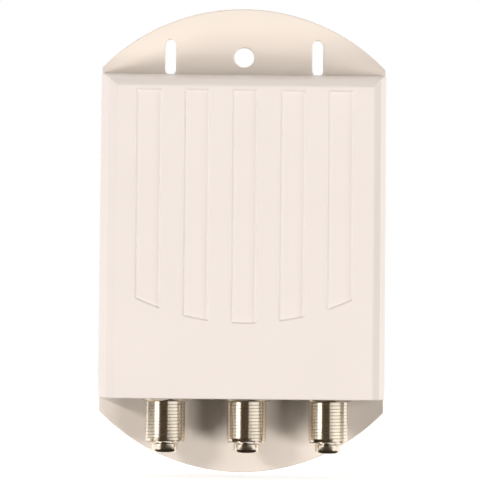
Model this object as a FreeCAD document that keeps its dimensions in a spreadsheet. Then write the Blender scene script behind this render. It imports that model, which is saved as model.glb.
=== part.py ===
import FreeCAD, Part
import math
import os
import Sketcher

# Outdoor switch box for satellite aerial cables: a wall plate, a die-cast switch module with three
# threaded jacks pointing down, and a weather hood that slides down over the jacks.
#
# Millimetres, +Z up, front towards -Y. The origin is the wall-screw hole on the rear face of the
# plate. Heights are counted from the middle of the plate, and depths from its rear face forwards.

# The driving sizes. Each row is the alias, the value and what it measures.
SIZES = [
    ("plate_wide", 70.4, "width of the back plate"),
    ("plate_tall", 115.0, "height of the back plate over its rounded ends"),
    ("plate_thick", 2.2, "thickness of the back plate"),
    ("plate_end_radius", 49.0, "radius of the rounded ends"),
    ("plate_edge", 0.4, "bevel round the front rim of the plate"),
    ("hole_inset", 12.1, "screw hole below the top of the plate"),
    ("hole_bore", 5.0, "diameter of the screw hole"),
    ("slot_wide", 2.7, "width of a strap slot"),
    ("slot_long", 9.0, "length of a strap slot"),
    ("slot_spread", 36.6, "distance between the two strap slots"),
    ("hood_overhang", 0.2, "hood's rear edge beyond each side of the plate"),
    ("hood_drop", 4.3, "top of the hood's rear edge below the screw hole"),
    ("hood_short", 18.2, "open end of the hood above the lower end of the plate"),
    ("hood_front", 28.0, "depth of the hood's front face"),
    ("hood_gap", 0.3, "gap between the hood's rear edge and the plate"),
    ("hood_wall", 1.9, "wall of the hood"),
    ("hood_bevel", 1.8, "bevel round the hood's front face"),
    ("side_lean", 2.8, "how far a side wall leans in towards the front"),
    ("top_lean", 3.8, "how far the top wall drops towards the front"),
    ("hood_corner", 0.5, "bevel along the hood's two upper corners"),
    ("flute_count", 5, "number of flutes on the hood"),
    ("flute_inset", 4.78, "outer flutes inside the sides of the front face"),
    ("flute_wide", 6.2, "width of a flute"),
    ("flute_deep", 0.5, "depth of a flute"),
    ("flute_margin", 0.8, "top of the flutes below the bevel"),
    ("flute_rise", 17.9, "lowest point of the flutes above the open end"),
    ("flute_sweep", 60.3, "radius of the curve that ends the flutes"),
    ("flute_flank", 40.0, "slope of the flute's flanks in degrees"),
    ("travel", 18.0, "travel of the hood"),
    ("slide_gap", 0.3, "clearance of the sliding guides"),
    ("lip_room", 0.7, "rails' lips inside the rear edge of the hood's walls"),
    ("rail_web", 1.3, "thickness of a rail's web"),
    ("rail_lip", 1.6, "reach of a rail's lip"),
    ("lip_thick", 1.5, "thickness of a rail's lip"),
    ("rail_short", 1.3, "lower end of the rails above the hood's open end"),
    ("rail_stop", 1.8, "thickness of the stop at each end of a rail"),
    ("hook_long", 36.0, "length of the hood's guide hooks"),
    ("hook_thick", 1.5, "thickness of the hood's guide hooks"),
    ("module_shift", 1.2, "module right of the plate's middle"),
    ("stand_off", 2.2, "height of the ribs and bosses under the module"),
    ("case_tall", 46.0, "height of the module case"),
    ("case_deep", 18.0, "depth of the module case"),
    ("case_wall", 1.6, "wall of the module case"),
    ("case_rise", 1.4, "bottom of the module case above the hood's open end"),
    ("case_corner", 2.0, "corner radius of the module case"),
    ("case_edge", 0.6, "chamfer round the front of the module case"),
    ("ledge", 0.8, "width of the ledge that the lid sits on"),
    ("lid_thick", 0.6, "thickness of the lid"),
    ("lid_sunk", 0.1, "lid below the rim of the case"),
    ("lid_boss", 0.35, "height of the embossed panel in the lid"),
    ("panel_inset", 4.8, "embossed panel inside the rim of the lid"),
    ("seam", 0.1, "gap round the lid"),
    ("ear_wide", 10.0, "width of a fixing ear"),
    ("ear_rise", 9.0, "height of a fixing ear above the case"),
    ("ear_thick", 2.0, "thickness of the ears and foot tabs"),
    ("ear_spread", 34.0, "distance between the ears"),
    ("ear_bore", 3.2, "diameter of the hole in an ear"),
    ("tab_reach", 1.9, "reach of a foot tab beside the case"),
    ("tab_tall", 5.0, "height of a foot tab"),
    ("tab_rise", 2.0, "foot tab above the bottom of the case"),
    ("claw_reach", 1.4, "reach of a claw over its foot tab"),
    ("claw_thick", 1.5, "thickness of a claw"),
    ("boss_wide", 7.0, "diameter of a screw boss on the plate"),
    ("screen_thick", 1.2, "thickness of the cast screens between the jacks"),
    ("screen_tall", 12.0, "height of the cast screens"),
    ("jack_inset", 5.15, "outer jacks inside the side walls of the case"),
    ("jack_deep", 13.4, "depth of the jack axes"),
    ("flange_wide", 11.0, "width of a jack's six-sided flange over its flats"),
    ("flange_thick", 2.0, "thickness of a jack's flange"),
    ("thread_wide", 9.525, "outer diameter of the jack thread"),
    ("thread_long", 9.9, "length of the jack thread"),
    ("thread_lead_in", 0.4, "chamfer at the end of the thread"),
    ("nose_root", 6.3, "diameter of the nose at the thread"),
    ("nose_tip", 5.2, "diameter of the nose at its tip"),
    ("nose_long", 2.6, "length of the nose"),
    ("jack_bore", 4.2, "bore of a jack"),
    ("spigot_wide", 7.8, "diameter of the spigot in the case wall"),
    ("spigot_proud", 0.8, "spigot beyond the inside of the case wall"),
    ("press_gap", 0.03, "gap between pressed parts"),
    ("insulator_sunk", 0.3, "insulator inside the mouth of the jack"),
    ("contact_wide", 2.2, "outer diameter of the centre contact"),
    ("contact_bore", 1.1, "bore of the centre contact"),
    ("contact_deep", 9.0, "depth of the centre contact's bore"),
    ("contact_sunk", 0.4, "contact inside the face of the insulator"),
    ("tail_wide", 1.2, "width of the contact's soldered tail"),
    ("tail_thick", 0.5, "thickness of the contact's tail"),
    ("tail_on_board", 3.5, "length of the tail that lies on the board"),
    ("board_thick", 1.6, "thickness of the circuit board"),
    ("board_foot", 1.3, "board above the inside of the case bottom"),
    ("board_room", 0.4, "gap between the board and the walls of the case"),
    ("post_inset", 3.4, "screws of the board from the side and top walls of the case"),
    ("post_reach", 2.5, "posts in the case's corners beyond the axes of their screws"),
    ("board_hole", 2.3, "diameter of a hole in the board"),
    ("joint_gap", 0.05, "clearance between a screw and its hole"),
    ("pilot_room", 0.2, "pilot hole deeper than its screw"),
    ("ear_screw_wide", 2.6, "diameter of a module screw"),
    ("ear_screw_long", 5.6, "length of a module screw under its head"),
    ("ear_head_wide", 5.0, "diameter of a module screw's head"),
    ("ear_head_thick", 1.7, "thickness of a module screw's head"),
    ("board_screw_wide", 1.9, "diameter of a board screw"),
    ("board_screw_long", 5.0, "length of a board screw under its head"),
    ("board_head_wide", 3.6, "diameter of a board screw's head"),
    ("board_head_thick", 1.2, "thickness of a board screw's head"),
    ("recess_wide", 0.6, "width of the cross in a screw head"),
    ("chip_long", 8.7, "length of the control chip"),
    ("chip_wide", 3.9, "width of the control chip"),
    ("chip_thick", 1.5, "thickness of the control chip's body"),
    ("chip_clear", 0.15, "control chip's body above the board"),
    ("lead_pitch", 1.27, "distance between the chip's leads"),
    ("lead_count", 7, "leads on each side of the chip"),
    ("lead_wide", 0.4, "width of a lead"),
    ("lead_thick", 0.2, "thickness of a lead"),
    ("lead_reach", 1.05, "reach of a lead beside the chip"),
    ("regulator_long", 6.5, "length of the voltage regulator"),
    ("regulator_wide", 3.5, "width of the voltage regulator"),
    ("regulator_thick", 1.6, "thickness of the voltage regulator"),
    ("regulator_pitch", 2.3, "distance between the regulator's leads"),
    ("regulator_lead", 0.7, "width of a regulator lead"),
    ("regulator_tab", 3.0, "width of the regulator's cooling tab"),
    ("regulator_reach", 1.7, "reach of the regulator's leads and tab"),
    ("coil_square", 5.0, "side of a choke coil's foot"),
    ("coil_foot", 0.8, "thickness of a choke coil's foot"),
    ("coil_tall", 4.2, "height of a choke coil"),
    ("coil_wide", 4.6, "diameter of a choke coil"),
    ("diode_wide", 1.6, "width of a switching diode"),
    ("diode_long", 2.7, "length of a switching diode's body"),
    ("diode_thick", 1.1, "thickness of a switching diode"),
    ("diode_lead", 0.6, "width of a diode's leads"),
    ("diode_reach", 0.45, "reach of a diode's leads"),
    ("can_wide", 5.0, "diameter of the electrolytic capacitor"),
    ("can_tall", 5.4, "height of the electrolytic capacitor"),
    ("can_base", 0.9, "thickness of its base"),
    ("can_square", 5.3, "side of its base"),
    ("part_gap", 1.4, "room between neighbours on the board"),
    ("chip_part_long", 2.0, "length of a small chip part"),
    ("chip_part_wide", 1.25, "width of a small chip part"),
    ("capacitor_thick", 0.9, "thickness of a ceramic capacitor"),
    ("capacitor_columns", 4, "number of ceramic capacitors in a row"),
    ("capacitor_rows", 2, "number of rows of ceramic capacitors"),
    ("resistor_thick", 0.5, "thickness of a resistor"),
    ("resistor_columns", 3, "number of resistors in a row"),
    ("resistor_rows", 3, "number of rows of resistors"),
]

doc = FreeCAD.newDocument("AerialSwitch")
sheet = doc.addObject("Spreadsheet::Sheet", "Sizes")
for row, (alias, value, meaning) in enumerate(SIZES, start=1):
    sheet.set(f"A{row}", meaning)
    sheet.set(f"B{row}", str(value))
    sheet.setAlias(f"B{row}", alias)
doc.recompute()


class Size:
    """A length with its value and the formula of sheet cells that gives it."""

    def __init__(self, value, formula):
        self.value = float(value)
        self.formula = formula

    def __add__(self, other):
        other = as_size(other)
        return Size(self.value + other.value, f"({self.formula} + {other.formula})")

    def __sub__(self, other):
        other = as_size(other)
        return Size(self.value - other.value, f"({self.formula} - {other.formula})")

    def __mul__(self, other):
        other = as_size(other)
        return Size(self.value * other.value, f"{self.formula} * {other.formula}")

    def __truediv__(self, other):
        other = as_size(other)
        return Size(self.value / other.value, f"{self.formula} / {other.formula}")

    def __neg__(self):
        return Size(-self.value, f"(0 - {self.formula})")

    def root(self):
        return Size(math.sqrt(self.value), f"sqrt({self.formula})")


def as_size(thing):
    """Take a Size as it is, and give a plain number a formula."""
    if isinstance(thing, Size):
        return thing
    return Size(thing, f"({thing})")


class Cells:
    """The cells of the sheet, each read by its alias as a Size."""

    def __getattr__(self, alias):
        return Size(sheet.get(alias), f"Sizes.{alias}")


S = Cells()
ZERO = as_size(0)

# Depths in front of the wall.
hook_front = S.plate_thick + S.hood_gap + S.hook_thick
lip_rear = hook_front + S.slide_gap
lip_front = lip_rear + S.lip_thick
case_rear = S.plate_thick + S.stand_off
case_front = case_rear + S.case_deep
lid_rear = case_rear + S.lid_sunk
lid_front = lid_rear + S.lid_thick
board_front = S.jack_deep - S.tail_thick / 2
board_rear = board_front - S.board_thick
tab_front = case_rear + S.ear_thick
claw_rear = tab_front + S.slide_gap
claw_front = claw_rear + S.claw_thick

# Heights above the middle of the plate.
plate_half_tall = S.plate_tall / 2
hole_rise = plate_half_tall - S.hole_inset
hood_top = hole_rise - S.hood_drop
hood_low = S.hood_short - plate_half_tall
rail_low = hood_low + S.rail_short
rail_high = rail_low + S.rail_stop * 2 + S.travel + S.hook_long + S.slide_gap * 2
hook_high = rail_high - S.rail_stop - S.slide_gap
case_low = hood_low + S.case_rise
case_high = case_low + S.case_tall
inner_low = case_low + S.case_wall
inner_high = case_high - S.case_wall
board_low = inner_low + S.board_foot
board_high = inner_high - S.board_room
ear_screw_high = case_high + S.ear_rise - S.ear_wide / 2
tab_low = case_low + S.tab_rise
tab_high = tab_low + S.tab_tall

# Places across the plate: the rails follow the hood, and the module fills the room between them.
middle = S.module_shift
hood_half = S.plate_wide / 2 + S.hood_overhang
front_half = hood_half - S.side_lean
lip_outer = hood_half - S.hood_wall - S.lip_room
web_outer = lip_outer - S.rail_lip
rail_inner = web_outer - S.rail_web
case_half = rail_inner - middle - S.tab_reach - S.slide_gap
inner_half = case_half - S.case_wall
jack_pitch = inner_half - S.jack_inset
post_half = inner_half - S.post_inset
post_high = inner_high - S.post_inset

# Places on the board: the diodes and chokes stand over the jacks, the chip and the small parts
# above them, and the regulator and the can between the posts.
head_half = S.board_head_wide / 2
diode_half = S.diode_long / 2 + S.diode_reach
diode_height = board_low + S.part_gap / 2 + diode_half
coil_height = diode_height + diode_half + S.part_gap + S.coil_square / 2
chip_half = S.chip_wide / 2 + S.lead_reach
chip_height = coil_height + S.coil_square / 2 + S.part_gap + chip_half
small_pitch = S.chip_part_wide + S.part_gap
small_step = S.chip_part_long + S.part_gap
first_row = chip_height + chip_half + S.part_gap + S.chip_part_wide / 2
first_column = S.chip_long / 2 + S.part_gap + S.chip_part_long / 2
upper_room = post_half - head_half - S.part_gap
regulator_half = S.regulator_wide / 2 + S.regulator_reach
SIDES = (-1, 1)


def bind(thing, prop, size):
    """Tie a property to its cells."""
    thing.setExpression(prop, as_size(size).formula)


def place(thing, across, depth, height, turn=None):
    """Put an object at its place across, in front of and above the screw hole."""
    if turn is not None:
        thing.Placement = FreeCAD.Placement(FreeCAD.Vector(), turn)
    bind(thing, "Placement.Base.x", across)
    bind(thing, "Placement.Base.y", -as_size(depth))
    bind(thing, "Placement.Base.z", as_size(height) - hole_rise)


# Turns that point a body's own +Z forwards, out of the wall, or back towards the wall.
FORWARDS = FreeCAD.Rotation(FreeCAD.Vector(1, 0, 0), 90)
BACKWARDS = FreeCAD.Rotation(FreeCAD.Vector(1, 0, 0), -90)


def new_body(label, across=ZERO, depth=ZERO, height=ZERO, turn=None):
    """Start the body of one sub-part."""
    body = doc.addObject("PartDesign::Body", label)
    body.Label = label
    place(body, across, depth, height, turn)
    return body


def origin_part(body, role):
    """One of the body's own origin planes or axes."""
    return next(part for part in body.Origin.OriginFeatures if part.Role == role)


def new_sketch(body, plane, offset):
    """Start a sketch on an origin plane, moved along the plane's normal."""
    sketch = body.newObject("Sketcher::SketchObject", body.Label + "_sketch")
    sketch.AttachmentSupport = (origin_part(body, plane), [""])
    sketch.MapMode = "FlatFace"
    bind(sketch, "AttachmentOffset.Base.z", offset)
    return sketch


def dimension(sketch, kind, geometry, point, size):
    """Dimension a point from the sketch's origin along X or Y."""
    index = sketch.addConstraint(Sketcher.Constraint(kind, -1, 1, geometry, point, size.value))
    bind(sketch, f"Constraints[{index}]", size)


def add_loop(sketch, points, centres=None):
    """Draw a closed outline. centres gives the centre of each side that is an arc."""
    centres = centres or {}
    count = len(points)
    points = [(as_size(x), as_size(y)) for x, y in points]
    flat = [FreeCAD.Vector(x.value, y.value, 0) for x, y in points]
    ends = []
    for side in range(count):
        start = flat[side]
        stop = flat[(side + 1) % count]
        if side not in centres:
            geometry = sketch.addGeometry(Part.LineSegment(start, stop))
            ends.append((geometry, 1, 2))
            continue
        x, y, turn = centres[side]
        x = as_size(x)
        y = as_size(y)
        centre = FreeCAD.Vector(x.value, y.value, 0)
        angles = [math.atan2(end.y - centre.y, end.x - centre.x) for end in (start, stop)]
        first, last = angles if turn > 0 else reversed(angles)
        circle = Part.Circle(centre, FreeCAD.Vector(0, 0, 1), start.distanceToPoint(centre))
        geometry = sketch.addGeometry(Part.ArcOfCircle(circle, first, last))
        ends.append((geometry, 1, 2) if turn > 0 else (geometry, 2, 1))
        across = abs(stop.x - start.x) > abs(stop.y - start.y)
        dimension(sketch, "DistanceY" if across else "DistanceX", geometry, 3, y if across else x)
    for side in range(count):
        geometry, begin, end = ends[side]
        following, following_begin, _ = ends[(side + 1) % count]
        joint = Sketcher.Constraint("Coincident", geometry, end, following, following_begin)
        sketch.addConstraint(joint)
        dimension(sketch, "DistanceX", geometry, begin, points[side][0])
        dimension(sketch, "DistanceY", geometry, begin, points[side][1])


def add_circle(sketch, x, y, width):
    """Draw a circle by its centre and diameter."""
    x = as_size(x)
    y = as_size(y)
    half = as_size(width) / 2
    circle = Part.Circle(FreeCAD.Vector(x.value, y.value, 0), FreeCAD.Vector(0, 0, 1), half.value)
    geometry = sketch.addGeometry(circle)
    dimension(sketch, "DistanceX", geometry, 3, x)
    dimension(sketch, "DistanceY", geometry, 3, y)
    index = sketch.addConstraint(Sketcher.Constraint("Radius", geometry, half.value))
    bind(sketch, f"Constraints[{index}]", half)


def rectangle(x0, x1, y0, y1):
    return [(x0, y0), (x1, y0), (x1, y1), (x0, y1)]


def box_sketch(body, plane, offset, x0, x1, y0, y1):
    sketch = new_sketch(body, plane, offset)
    add_loop(sketch, rectangle(x0, x1, y0, y1))
    return sketch


def pad(body, sketch, length, reverse=False, taper=None):
    """Raise material from a sketch."""
    before = body.Shape.Volume if body.Tip else 0.0
    feature = body.newObject("PartDesign::Pad", body.Label + "_pad")
    feature.Profile = sketch
    feature.Reversed = reverse
    bind(feature, "Length", length)
    if taper is not None:
        bind(feature, "TaperAngle", taper)
    doc.recompute()
    if body.Shape.Volume <= before:
        raise RuntimeError(f"{feature.Name} adds nothing")
    return feature


def pocket(body, sketch, length, reverse=False, taper=None):
    """Cut material from a sketch, and make sure that something was cut."""
    before = body.Shape.Volume
    feature = body.newObject("PartDesign::Pocket", body.Label + "_pocket")
    feature.Profile = sketch
    feature.Reversed = reverse
    bind(feature, "Length", length)
    if taper is not None:
        bind(feature, "TaperAngle", taper)
    doc.recompute()
    if body.Shape.Volume >= before:
        raise RuntimeError(f"{feature.Name} cuts nothing")
    return feature


def turned(body, points, centres=None):
    """Turn a profile of radii and heights round the body's own Z axis."""
    sketch = new_sketch(body, "XZ_Plane", ZERO)
    add_loop(sketch, points, centres)
    feature = body.newObject("PartDesign::Revolution", body.Label + "_turned")
    feature.Profile = sketch
    feature.ReferenceAxis = (sketch, ["V_Axis"])
    feature.Angle = 360
    doc.recompute()
    return feature


def grid(body, features, across, count_across=2, along=None, count_along=1):
    """Repeat features in rows along the body's X and Y axes."""
    feature = body.newObject("PartDesign::LinearPattern", body.Label + "_grid")
    feature.Originals = features
    feature.Direction = (origin_part(body, "X_Axis"), [""])
    bind(feature, "Length", across)
    bind(feature, "Occurrences", count_across)
    if along is not None:
        feature.Direction2 = (origin_part(body, "Y_Axis"), [""])
        bind(feature, "Length2", along)
        bind(feature, "Occurrences2", count_along)
    body.Tip = feature
    doc.recompute()
    return feature


def dress(body, kind, size, wanted):
    """Fillet or chamfer the edges of the tip that wanted picks."""
    tip = body.Tip
    edges = [f"Edge{i}" for i, edge in enumerate(tip.Shape.Edges, start=1) if wanted(edge)]
    if not edges:
        raise RuntimeError(f"no edge of {body.Label} was picked")
    feature = body.newObject("PartDesign::" + kind, body.Label + "_" + kind.lower())
    feature.Base = (tip, edges)
    bind(feature, "Radius" if kind == "Fillet" else "Size", size)
    doc.recompute()
    return feature


def near(a, b):
    return abs(a - b) < 0.001


def flat_at(edge, axis, value):
    """True if the whole edge lies at one value along an axis."""
    box = edge.BoundBox
    low = getattr(box, axis + "Min")
    high = getattr(box, axis + "Max")
    return near(low, value) and near(high, value)


def runs_along(edge, axis):
    """True if the edge is straight and parallel to an axis."""
    if not isinstance(edge.Curve, Part.Line):
        return False
    return near(abs(getattr(edge.Curve.Direction, axis)), 1.0)


def make_back_plate():
    """Plate with rounded ends, strap slots, hood rails, and the seats of the module."""
    body = new_body("back_plate")
    half = S.plate_wide / 2
    end_centre = plate_half_tall - S.plate_end_radius
    corner = end_centre + (S.plate_end_radius * S.plate_end_radius - half * half).root()
    sketch = new_sketch(body, "XZ_Plane", ZERO)
    outline = rectangle(-half, half, -corner, corner)
    add_loop(sketch, outline, {0: (ZERO, -end_centre, 1), 2: (ZERO, end_centre, 1)})
    pad(body, sketch, S.plate_thick)
    dress(body, "Chamfer", S.plate_edge, lambda edge: flat_at(edge, "Y", -S.plate_thick.value))

    holes = new_sketch(body, "XZ_Plane", ZERO)
    add_circle(holes, ZERO, hole_rise, S.hole_bore)
    for side in SIDES:
        x = S.slot_spread / 2 * side
        radius = S.slot_wide / 2
        low = hole_rise - S.slot_long / 2 + radius
        high = hole_rise + S.slot_long / 2 - radius
        slot = rectangle(x - radius, x + radius, low, high)
        add_loop(holes, slot, {0: (x, low, 1), 2: (x, high, 1)})
    pocket(body, holes, S.plate_thick, reverse=True)

    # Each rail is a web with a lip that reaches outwards over the hood's hook.
    rails = new_sketch(body, "XY_Plane", rail_low)
    for side in SIDES:
        profile = [
            (rail_inner, S.plate_thick),
            (web_outer, S.plate_thick),
            (web_outer, lip_rear),
            (lip_outer, lip_rear),
            (lip_outer, lip_front),
            (rail_inner, lip_front),
        ]
        add_loop(rails, [(x * side, -depth) for x, depth in profile])
    pad(body, rails, rail_high - rail_low)

    # A stop closes the rail's channel at each end and ends the hood's travel.
    for low in (rail_low, rail_high - S.rail_stop):
        stops = new_sketch(body, "XY_Plane", low)
        for side in SIDES:
            block = rectangle(web_outer - S.rail_web / 2, lip_outer, S.plate_thick, lip_rear + S.lip_thick / 2)
            add_loop(stops, [(x * side, -depth) for x, depth in block])
        pad(body, stops, S.rail_stop)

    # A claw beside each rail holds the module's foot tab down on its seat.
    claws = new_sketch(body, "XY_Plane", tab_low)
    for side in SIDES:
        seat_inner = middle + (case_half + S.slide_gap) * side
        tab_end = middle + (case_half + S.tab_reach + S.slide_gap) * side
        tip = tab_end - S.claw_reach * side
        root = (rail_inner + S.rail_web / 2) * side
        profile = [
            (root, S.plate_thick),
            (root, claw_front),
            (tip, claw_front),
            (tip, claw_rear),
            (tab_end, claw_rear),
            (tab_end, case_rear),
            (seat_inner, case_rear),
            (seat_inner, S.plate_thick),
        ]
        add_loop(claws, [(x, -depth) for x, depth in profile])
    pad(body, claws, S.tab_tall)

    # Two ribs carry the side walls of the case, and two bosses carry its ears.
    ribs = new_sketch(body, "XZ_Plane", S.plate_thick)
    for side in SIDES:
        outer = middle + case_half * side
        inner = outer - S.case_wall * side
        rib_low = case_low + S.case_corner
        rib_high = case_high - S.case_corner
        add_loop(ribs, rectangle(inner, outer, rib_low, rib_high))
        add_circle(ribs, middle + S.ear_spread / 2 * side, ear_screw_high, S.boss_wide)
    pad(body, ribs, S.stand_off)

    pilots = new_sketch(body, "XZ_Plane", case_rear)
    for side in SIDES:
        x = middle + S.ear_spread / 2 * side
        add_circle(pilots, x, ear_screw_high, S.ear_screw_wide + S.joint_gap * 2)
    pocket(body, pilots, S.ear_screw_long - S.ear_thick + S.pilot_room)
    return body


def hood_section(body, depth, half, top):
    """One cross section of the hood's outside, square to the depth, with its upper corners cut."""
    cut = S.hood_corner
    sketch = new_sketch(body, "XZ_Plane", depth)
    add_loop(sketch, [
        (-half, hood_low), (half, hood_low), (half, top - cut),
        (half - cut, top), (-half + cut, top), (-half, top - cut),
    ])
    return sketch


def make_sliding_hood():
    """Weather hood: leaning walls, a bevelled front with flutes, open below and behind."""
    body = new_body("sliding_hood")
    rear = S.plate_thick + S.hood_gap
    shoulder = S.hood_front - S.hood_bevel
    front_top = hood_top - S.top_lean
    face_half = front_half - S.hood_bevel
    face_top = front_top - S.hood_bevel

    outer = [
        hood_section(body, rear, hood_half, hood_top),
        hood_section(body, shoulder, front_half, front_top),
        hood_section(body, S.hood_front, face_half, face_top),
    ]
    loft = body.newObject("PartDesign::AdditiveLoft", "hood_outside")
    loft.Profile = outer[0]
    loft.Sections = outer[1:]
    loft.Ruled = True
    doc.recompute()

    wall = S.hood_wall
    below = hood_low - wall
    side = hood_half - wall
    inner_rear = box_sketch(body, "XZ_Plane", rear, -side, side, below, hood_top - wall)
    inner_depth = S.hood_front - wall
    side = front_half - wall
    inner = box_sketch(body, "XZ_Plane", inner_depth, -side, side, below, front_top - wall)
    before = body.Shape.Volume
    hollow = body.newObject("PartDesign::SubtractiveLoft", "hood_inside")
    hollow.Profile = inner_rear
    hollow.Sections = [inner]
    hollow.Ruled = True
    doc.recompute()
    if body.Shape.Volume >= before:
        raise RuntimeError("the hood is not hollow")

    # The flutes share one curve, so the middle ones reach lower than the outer ones.
    sweep_centre = hood_low + S.flute_rise + S.flute_sweep
    top = face_top - S.flute_margin
    count = int(round(S.flute_count.value))
    outermost = face_half - S.flute_inset - S.flute_wide / 2
    pitch = outermost * 2 / (count - 1)
    for index in range(count):
        x = pitch * (index - (count - 1) / 2)
        left = x - S.flute_wide / 2
        right = x + S.flute_wide / 2
        low_left = sweep_centre - (S.flute_sweep * S.flute_sweep - left * left).root()
        low_right = sweep_centre - (S.flute_sweep * S.flute_sweep - right * right).root()
        flute = new_sketch(body, "XZ_Plane", S.hood_front)
        corners = [(left, low_left), (right, low_right), (right, top), (left, top)]
        add_loop(flute, corners, {0: (ZERO, sweep_centre, 1)})
        pocket(body, flute, S.flute_deep, taper=-S.flute_flank)

    # Hooks run inwards behind the lips of the rails, out of the middle of the leaning walls.
    hooks = new_sketch(body, "XY_Plane", hook_high - S.hook_long)
    lean_at_hook = S.side_lean * S.hook_thick / (shoulder - rear)
    for side in SIDES:
        inside = web_outer + S.slide_gap
        outside = hood_half - wall / 2 - lean_at_hook
        add_loop(hooks, [(x * side, -depth) for x, depth in rectangle(inside, outside, rear, hook_front)])
    pad(body, hooks, S.hook_long)
    return body


def make_module_case():
    """Die-cast tray, open towards the wall, with ears, foot tabs, board posts and screens."""
    body = new_body("module_case", across=middle)
    sketch = box_sketch(body, "XZ_Plane", case_rear, -case_half, case_half, case_low, case_high)
    pad(body, sketch, S.case_deep)
    dress(body, "Fillet", S.case_corner, lambda edge: runs_along(edge, "y"))
    dress(body, "Chamfer", S.case_edge, lambda edge: flat_at(edge, "Y", -case_front.value))

    inside = box_sketch(body, "XZ_Plane", case_rear, -inner_half, inner_half, inner_low, inner_high)
    pocket(body, inside, S.case_deep - S.case_wall, reverse=True)
    ledge_half = inner_half + S.ledge
    ledge = box_sketch(
        body, "XZ_Plane", case_rear, -ledge_half, ledge_half, inner_low - S.ledge, inner_high + S.ledge
    )
    pocket(body, ledge, S.lid_sunk + S.lid_thick, reverse=True)

    fixings = new_sketch(body, "XZ_Plane", case_rear)
    half_ear = S.ear_wide / 2
    root = inner_high + S.ledge
    for side in SIDES:
        x = S.ear_spread / 2 * side
        ear = rectangle(x - half_ear, x + half_ear, root, ear_screw_high)
        add_loop(fixings, ear, {2: (x, ear_screw_high, 1)})
        tab_root = (inner_half + S.ledge) * side
        tab_end = (case_half + S.tab_reach) * side
        add_loop(fixings, rectangle(tab_root, tab_end, tab_low, tab_high))
    pad(body, fixings, S.ear_thick)
    holes = new_sketch(body, "XZ_Plane", case_rear)
    for side in SIDES:
        add_circle(holes, S.ear_spread / 2 * side, ear_screw_high, S.ear_bore)
    pocket(body, holes, S.ear_thick, reverse=True)

    # A post in each upper corner carries the board.
    posts = new_sketch(body, "XZ_Plane", board_front)
    pilots = new_sketch(body, "XZ_Plane", board_front)
    post_top = case_high - S.case_wall / 2
    for side in SIDES:
        root = (case_half - S.case_wall / 2) * side
        inside = (post_half - S.post_reach) * side
        add_loop(posts, rectangle(inside, root, post_high - S.post_reach, post_top))
        add_circle(pilots, post_half * side, post_high, S.board_screw_wide + S.joint_gap * 2)
    pad(body, posts, case_front - board_front - S.case_wall / 2)
    pocket(body, pilots, S.board_screw_long - S.board_thick + S.pilot_room, reverse=True)

    # Cast screens stand between the jacks, just short of the board.
    screens = new_sketch(body, "XZ_Plane", board_front + S.slide_gap)
    for side in SIDES:
        x = jack_pitch / 2 * side
        left = x - S.screen_thick / 2
        right = x + S.screen_thick / 2
        low = case_low + S.case_wall / 2
        add_loop(screens, rectangle(left, right, low, inner_low + S.screen_tall))
    pad(body, screens, case_front - board_front - S.slide_gap - S.case_wall / 2)

    sockets = new_sketch(body, "XY_Plane", case_low)
    for step in (-1, 0, 1):
        add_circle(sockets, jack_pitch * step, -S.jack_deep, S.spigot_wide + S.press_gap * 2)
    pocket(body, sockets, S.case_wall, reverse=True)
    return body


def make_module_lid():
    """Tinplate lid that closes the case towards the wall, with a shallow embossed panel."""
    body = new_body("module_lid", across=middle)
    half = inner_half + S.ledge - S.seam
    low = inner_low - S.ledge + S.seam
    high = inner_high + S.ledge - S.seam
    sketch = box_sketch(body, "XZ_Plane", lid_rear, -half, half, low, high)
    pad(body, sketch, S.lid_thick)
    dress(body, "Fillet", S.ledge, lambda edge: runs_along(edge, "y"))
    panel_half = half - S.panel_inset
    panel_low = low + S.panel_inset
    panel_high = high - S.panel_inset
    panel = box_sketch(body, "XZ_Plane", lid_front, -panel_half, panel_half, panel_low, panel_high)
    pad(body, panel, S.lid_boss)
    dent = box_sketch(body, "XZ_Plane", lid_rear, -panel_half, panel_half, panel_low, panel_high)
    pocket(body, dent, S.lid_boss, reverse=True)
    return body


def make_jack_barrel(name, across):
    """Threaded outer contact of one jack: spigot, six-sided flange, thread, tapered nose and bore."""
    body = new_body(name + "_jack_barrel", across, S.jack_deep, case_low)
    bore = S.jack_bore / 2
    spigot = S.spigot_wide / 2
    spigot_high = S.case_wall + S.spigot_proud
    thread = S.thread_wide / 2
    thread_low = -S.flange_thick - S.thread_long
    nose_low = thread_low - S.nose_long
    turned(body, [
        (bore, spigot_high),
        (spigot, spigot_high),
        (spigot, ZERO),
        (thread, ZERO),
        (thread, thread_low + S.thread_lead_in),
        (thread - S.thread_lead_in, thread_low),
        (S.nose_root / 2, thread_low),
        (S.nose_tip / 2, nose_low),
        (bore, nose_low),
    ])
    flat = S.flange_wide / 2
    corner = flat * 2 / as_size(3).root()
    flange = new_sketch(body, "XY_Plane", -S.flange_thick)
    add_loop(flange, [
        (ZERO, -corner), (flat, -corner / 2), (flat, corner / 2),
        (ZERO, corner), (-flat, corner / 2), (-flat, -corner / 2),
    ])
    add_circle(flange, ZERO, ZERO, S.nose_root)
    pad(body, flange, S.flange_thick)
    return body


def make_jack_insulator(name, across):
    """Plastic core of one jack, a sleeve round the contact."""
    body = new_body(name + "_jack_insulator", across, S.jack_deep, case_low)
    outer = S.jack_bore / 2 - S.press_gap
    seat = S.contact_wide / 2
    face = -S.flange_thick - S.thread_long - S.nose_long + S.insulator_sunk
    top = S.case_wall + S.spigot_proud
    turned(body, [(seat, face), (outer, face), (outer, top), (seat, top)])
    return body


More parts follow.
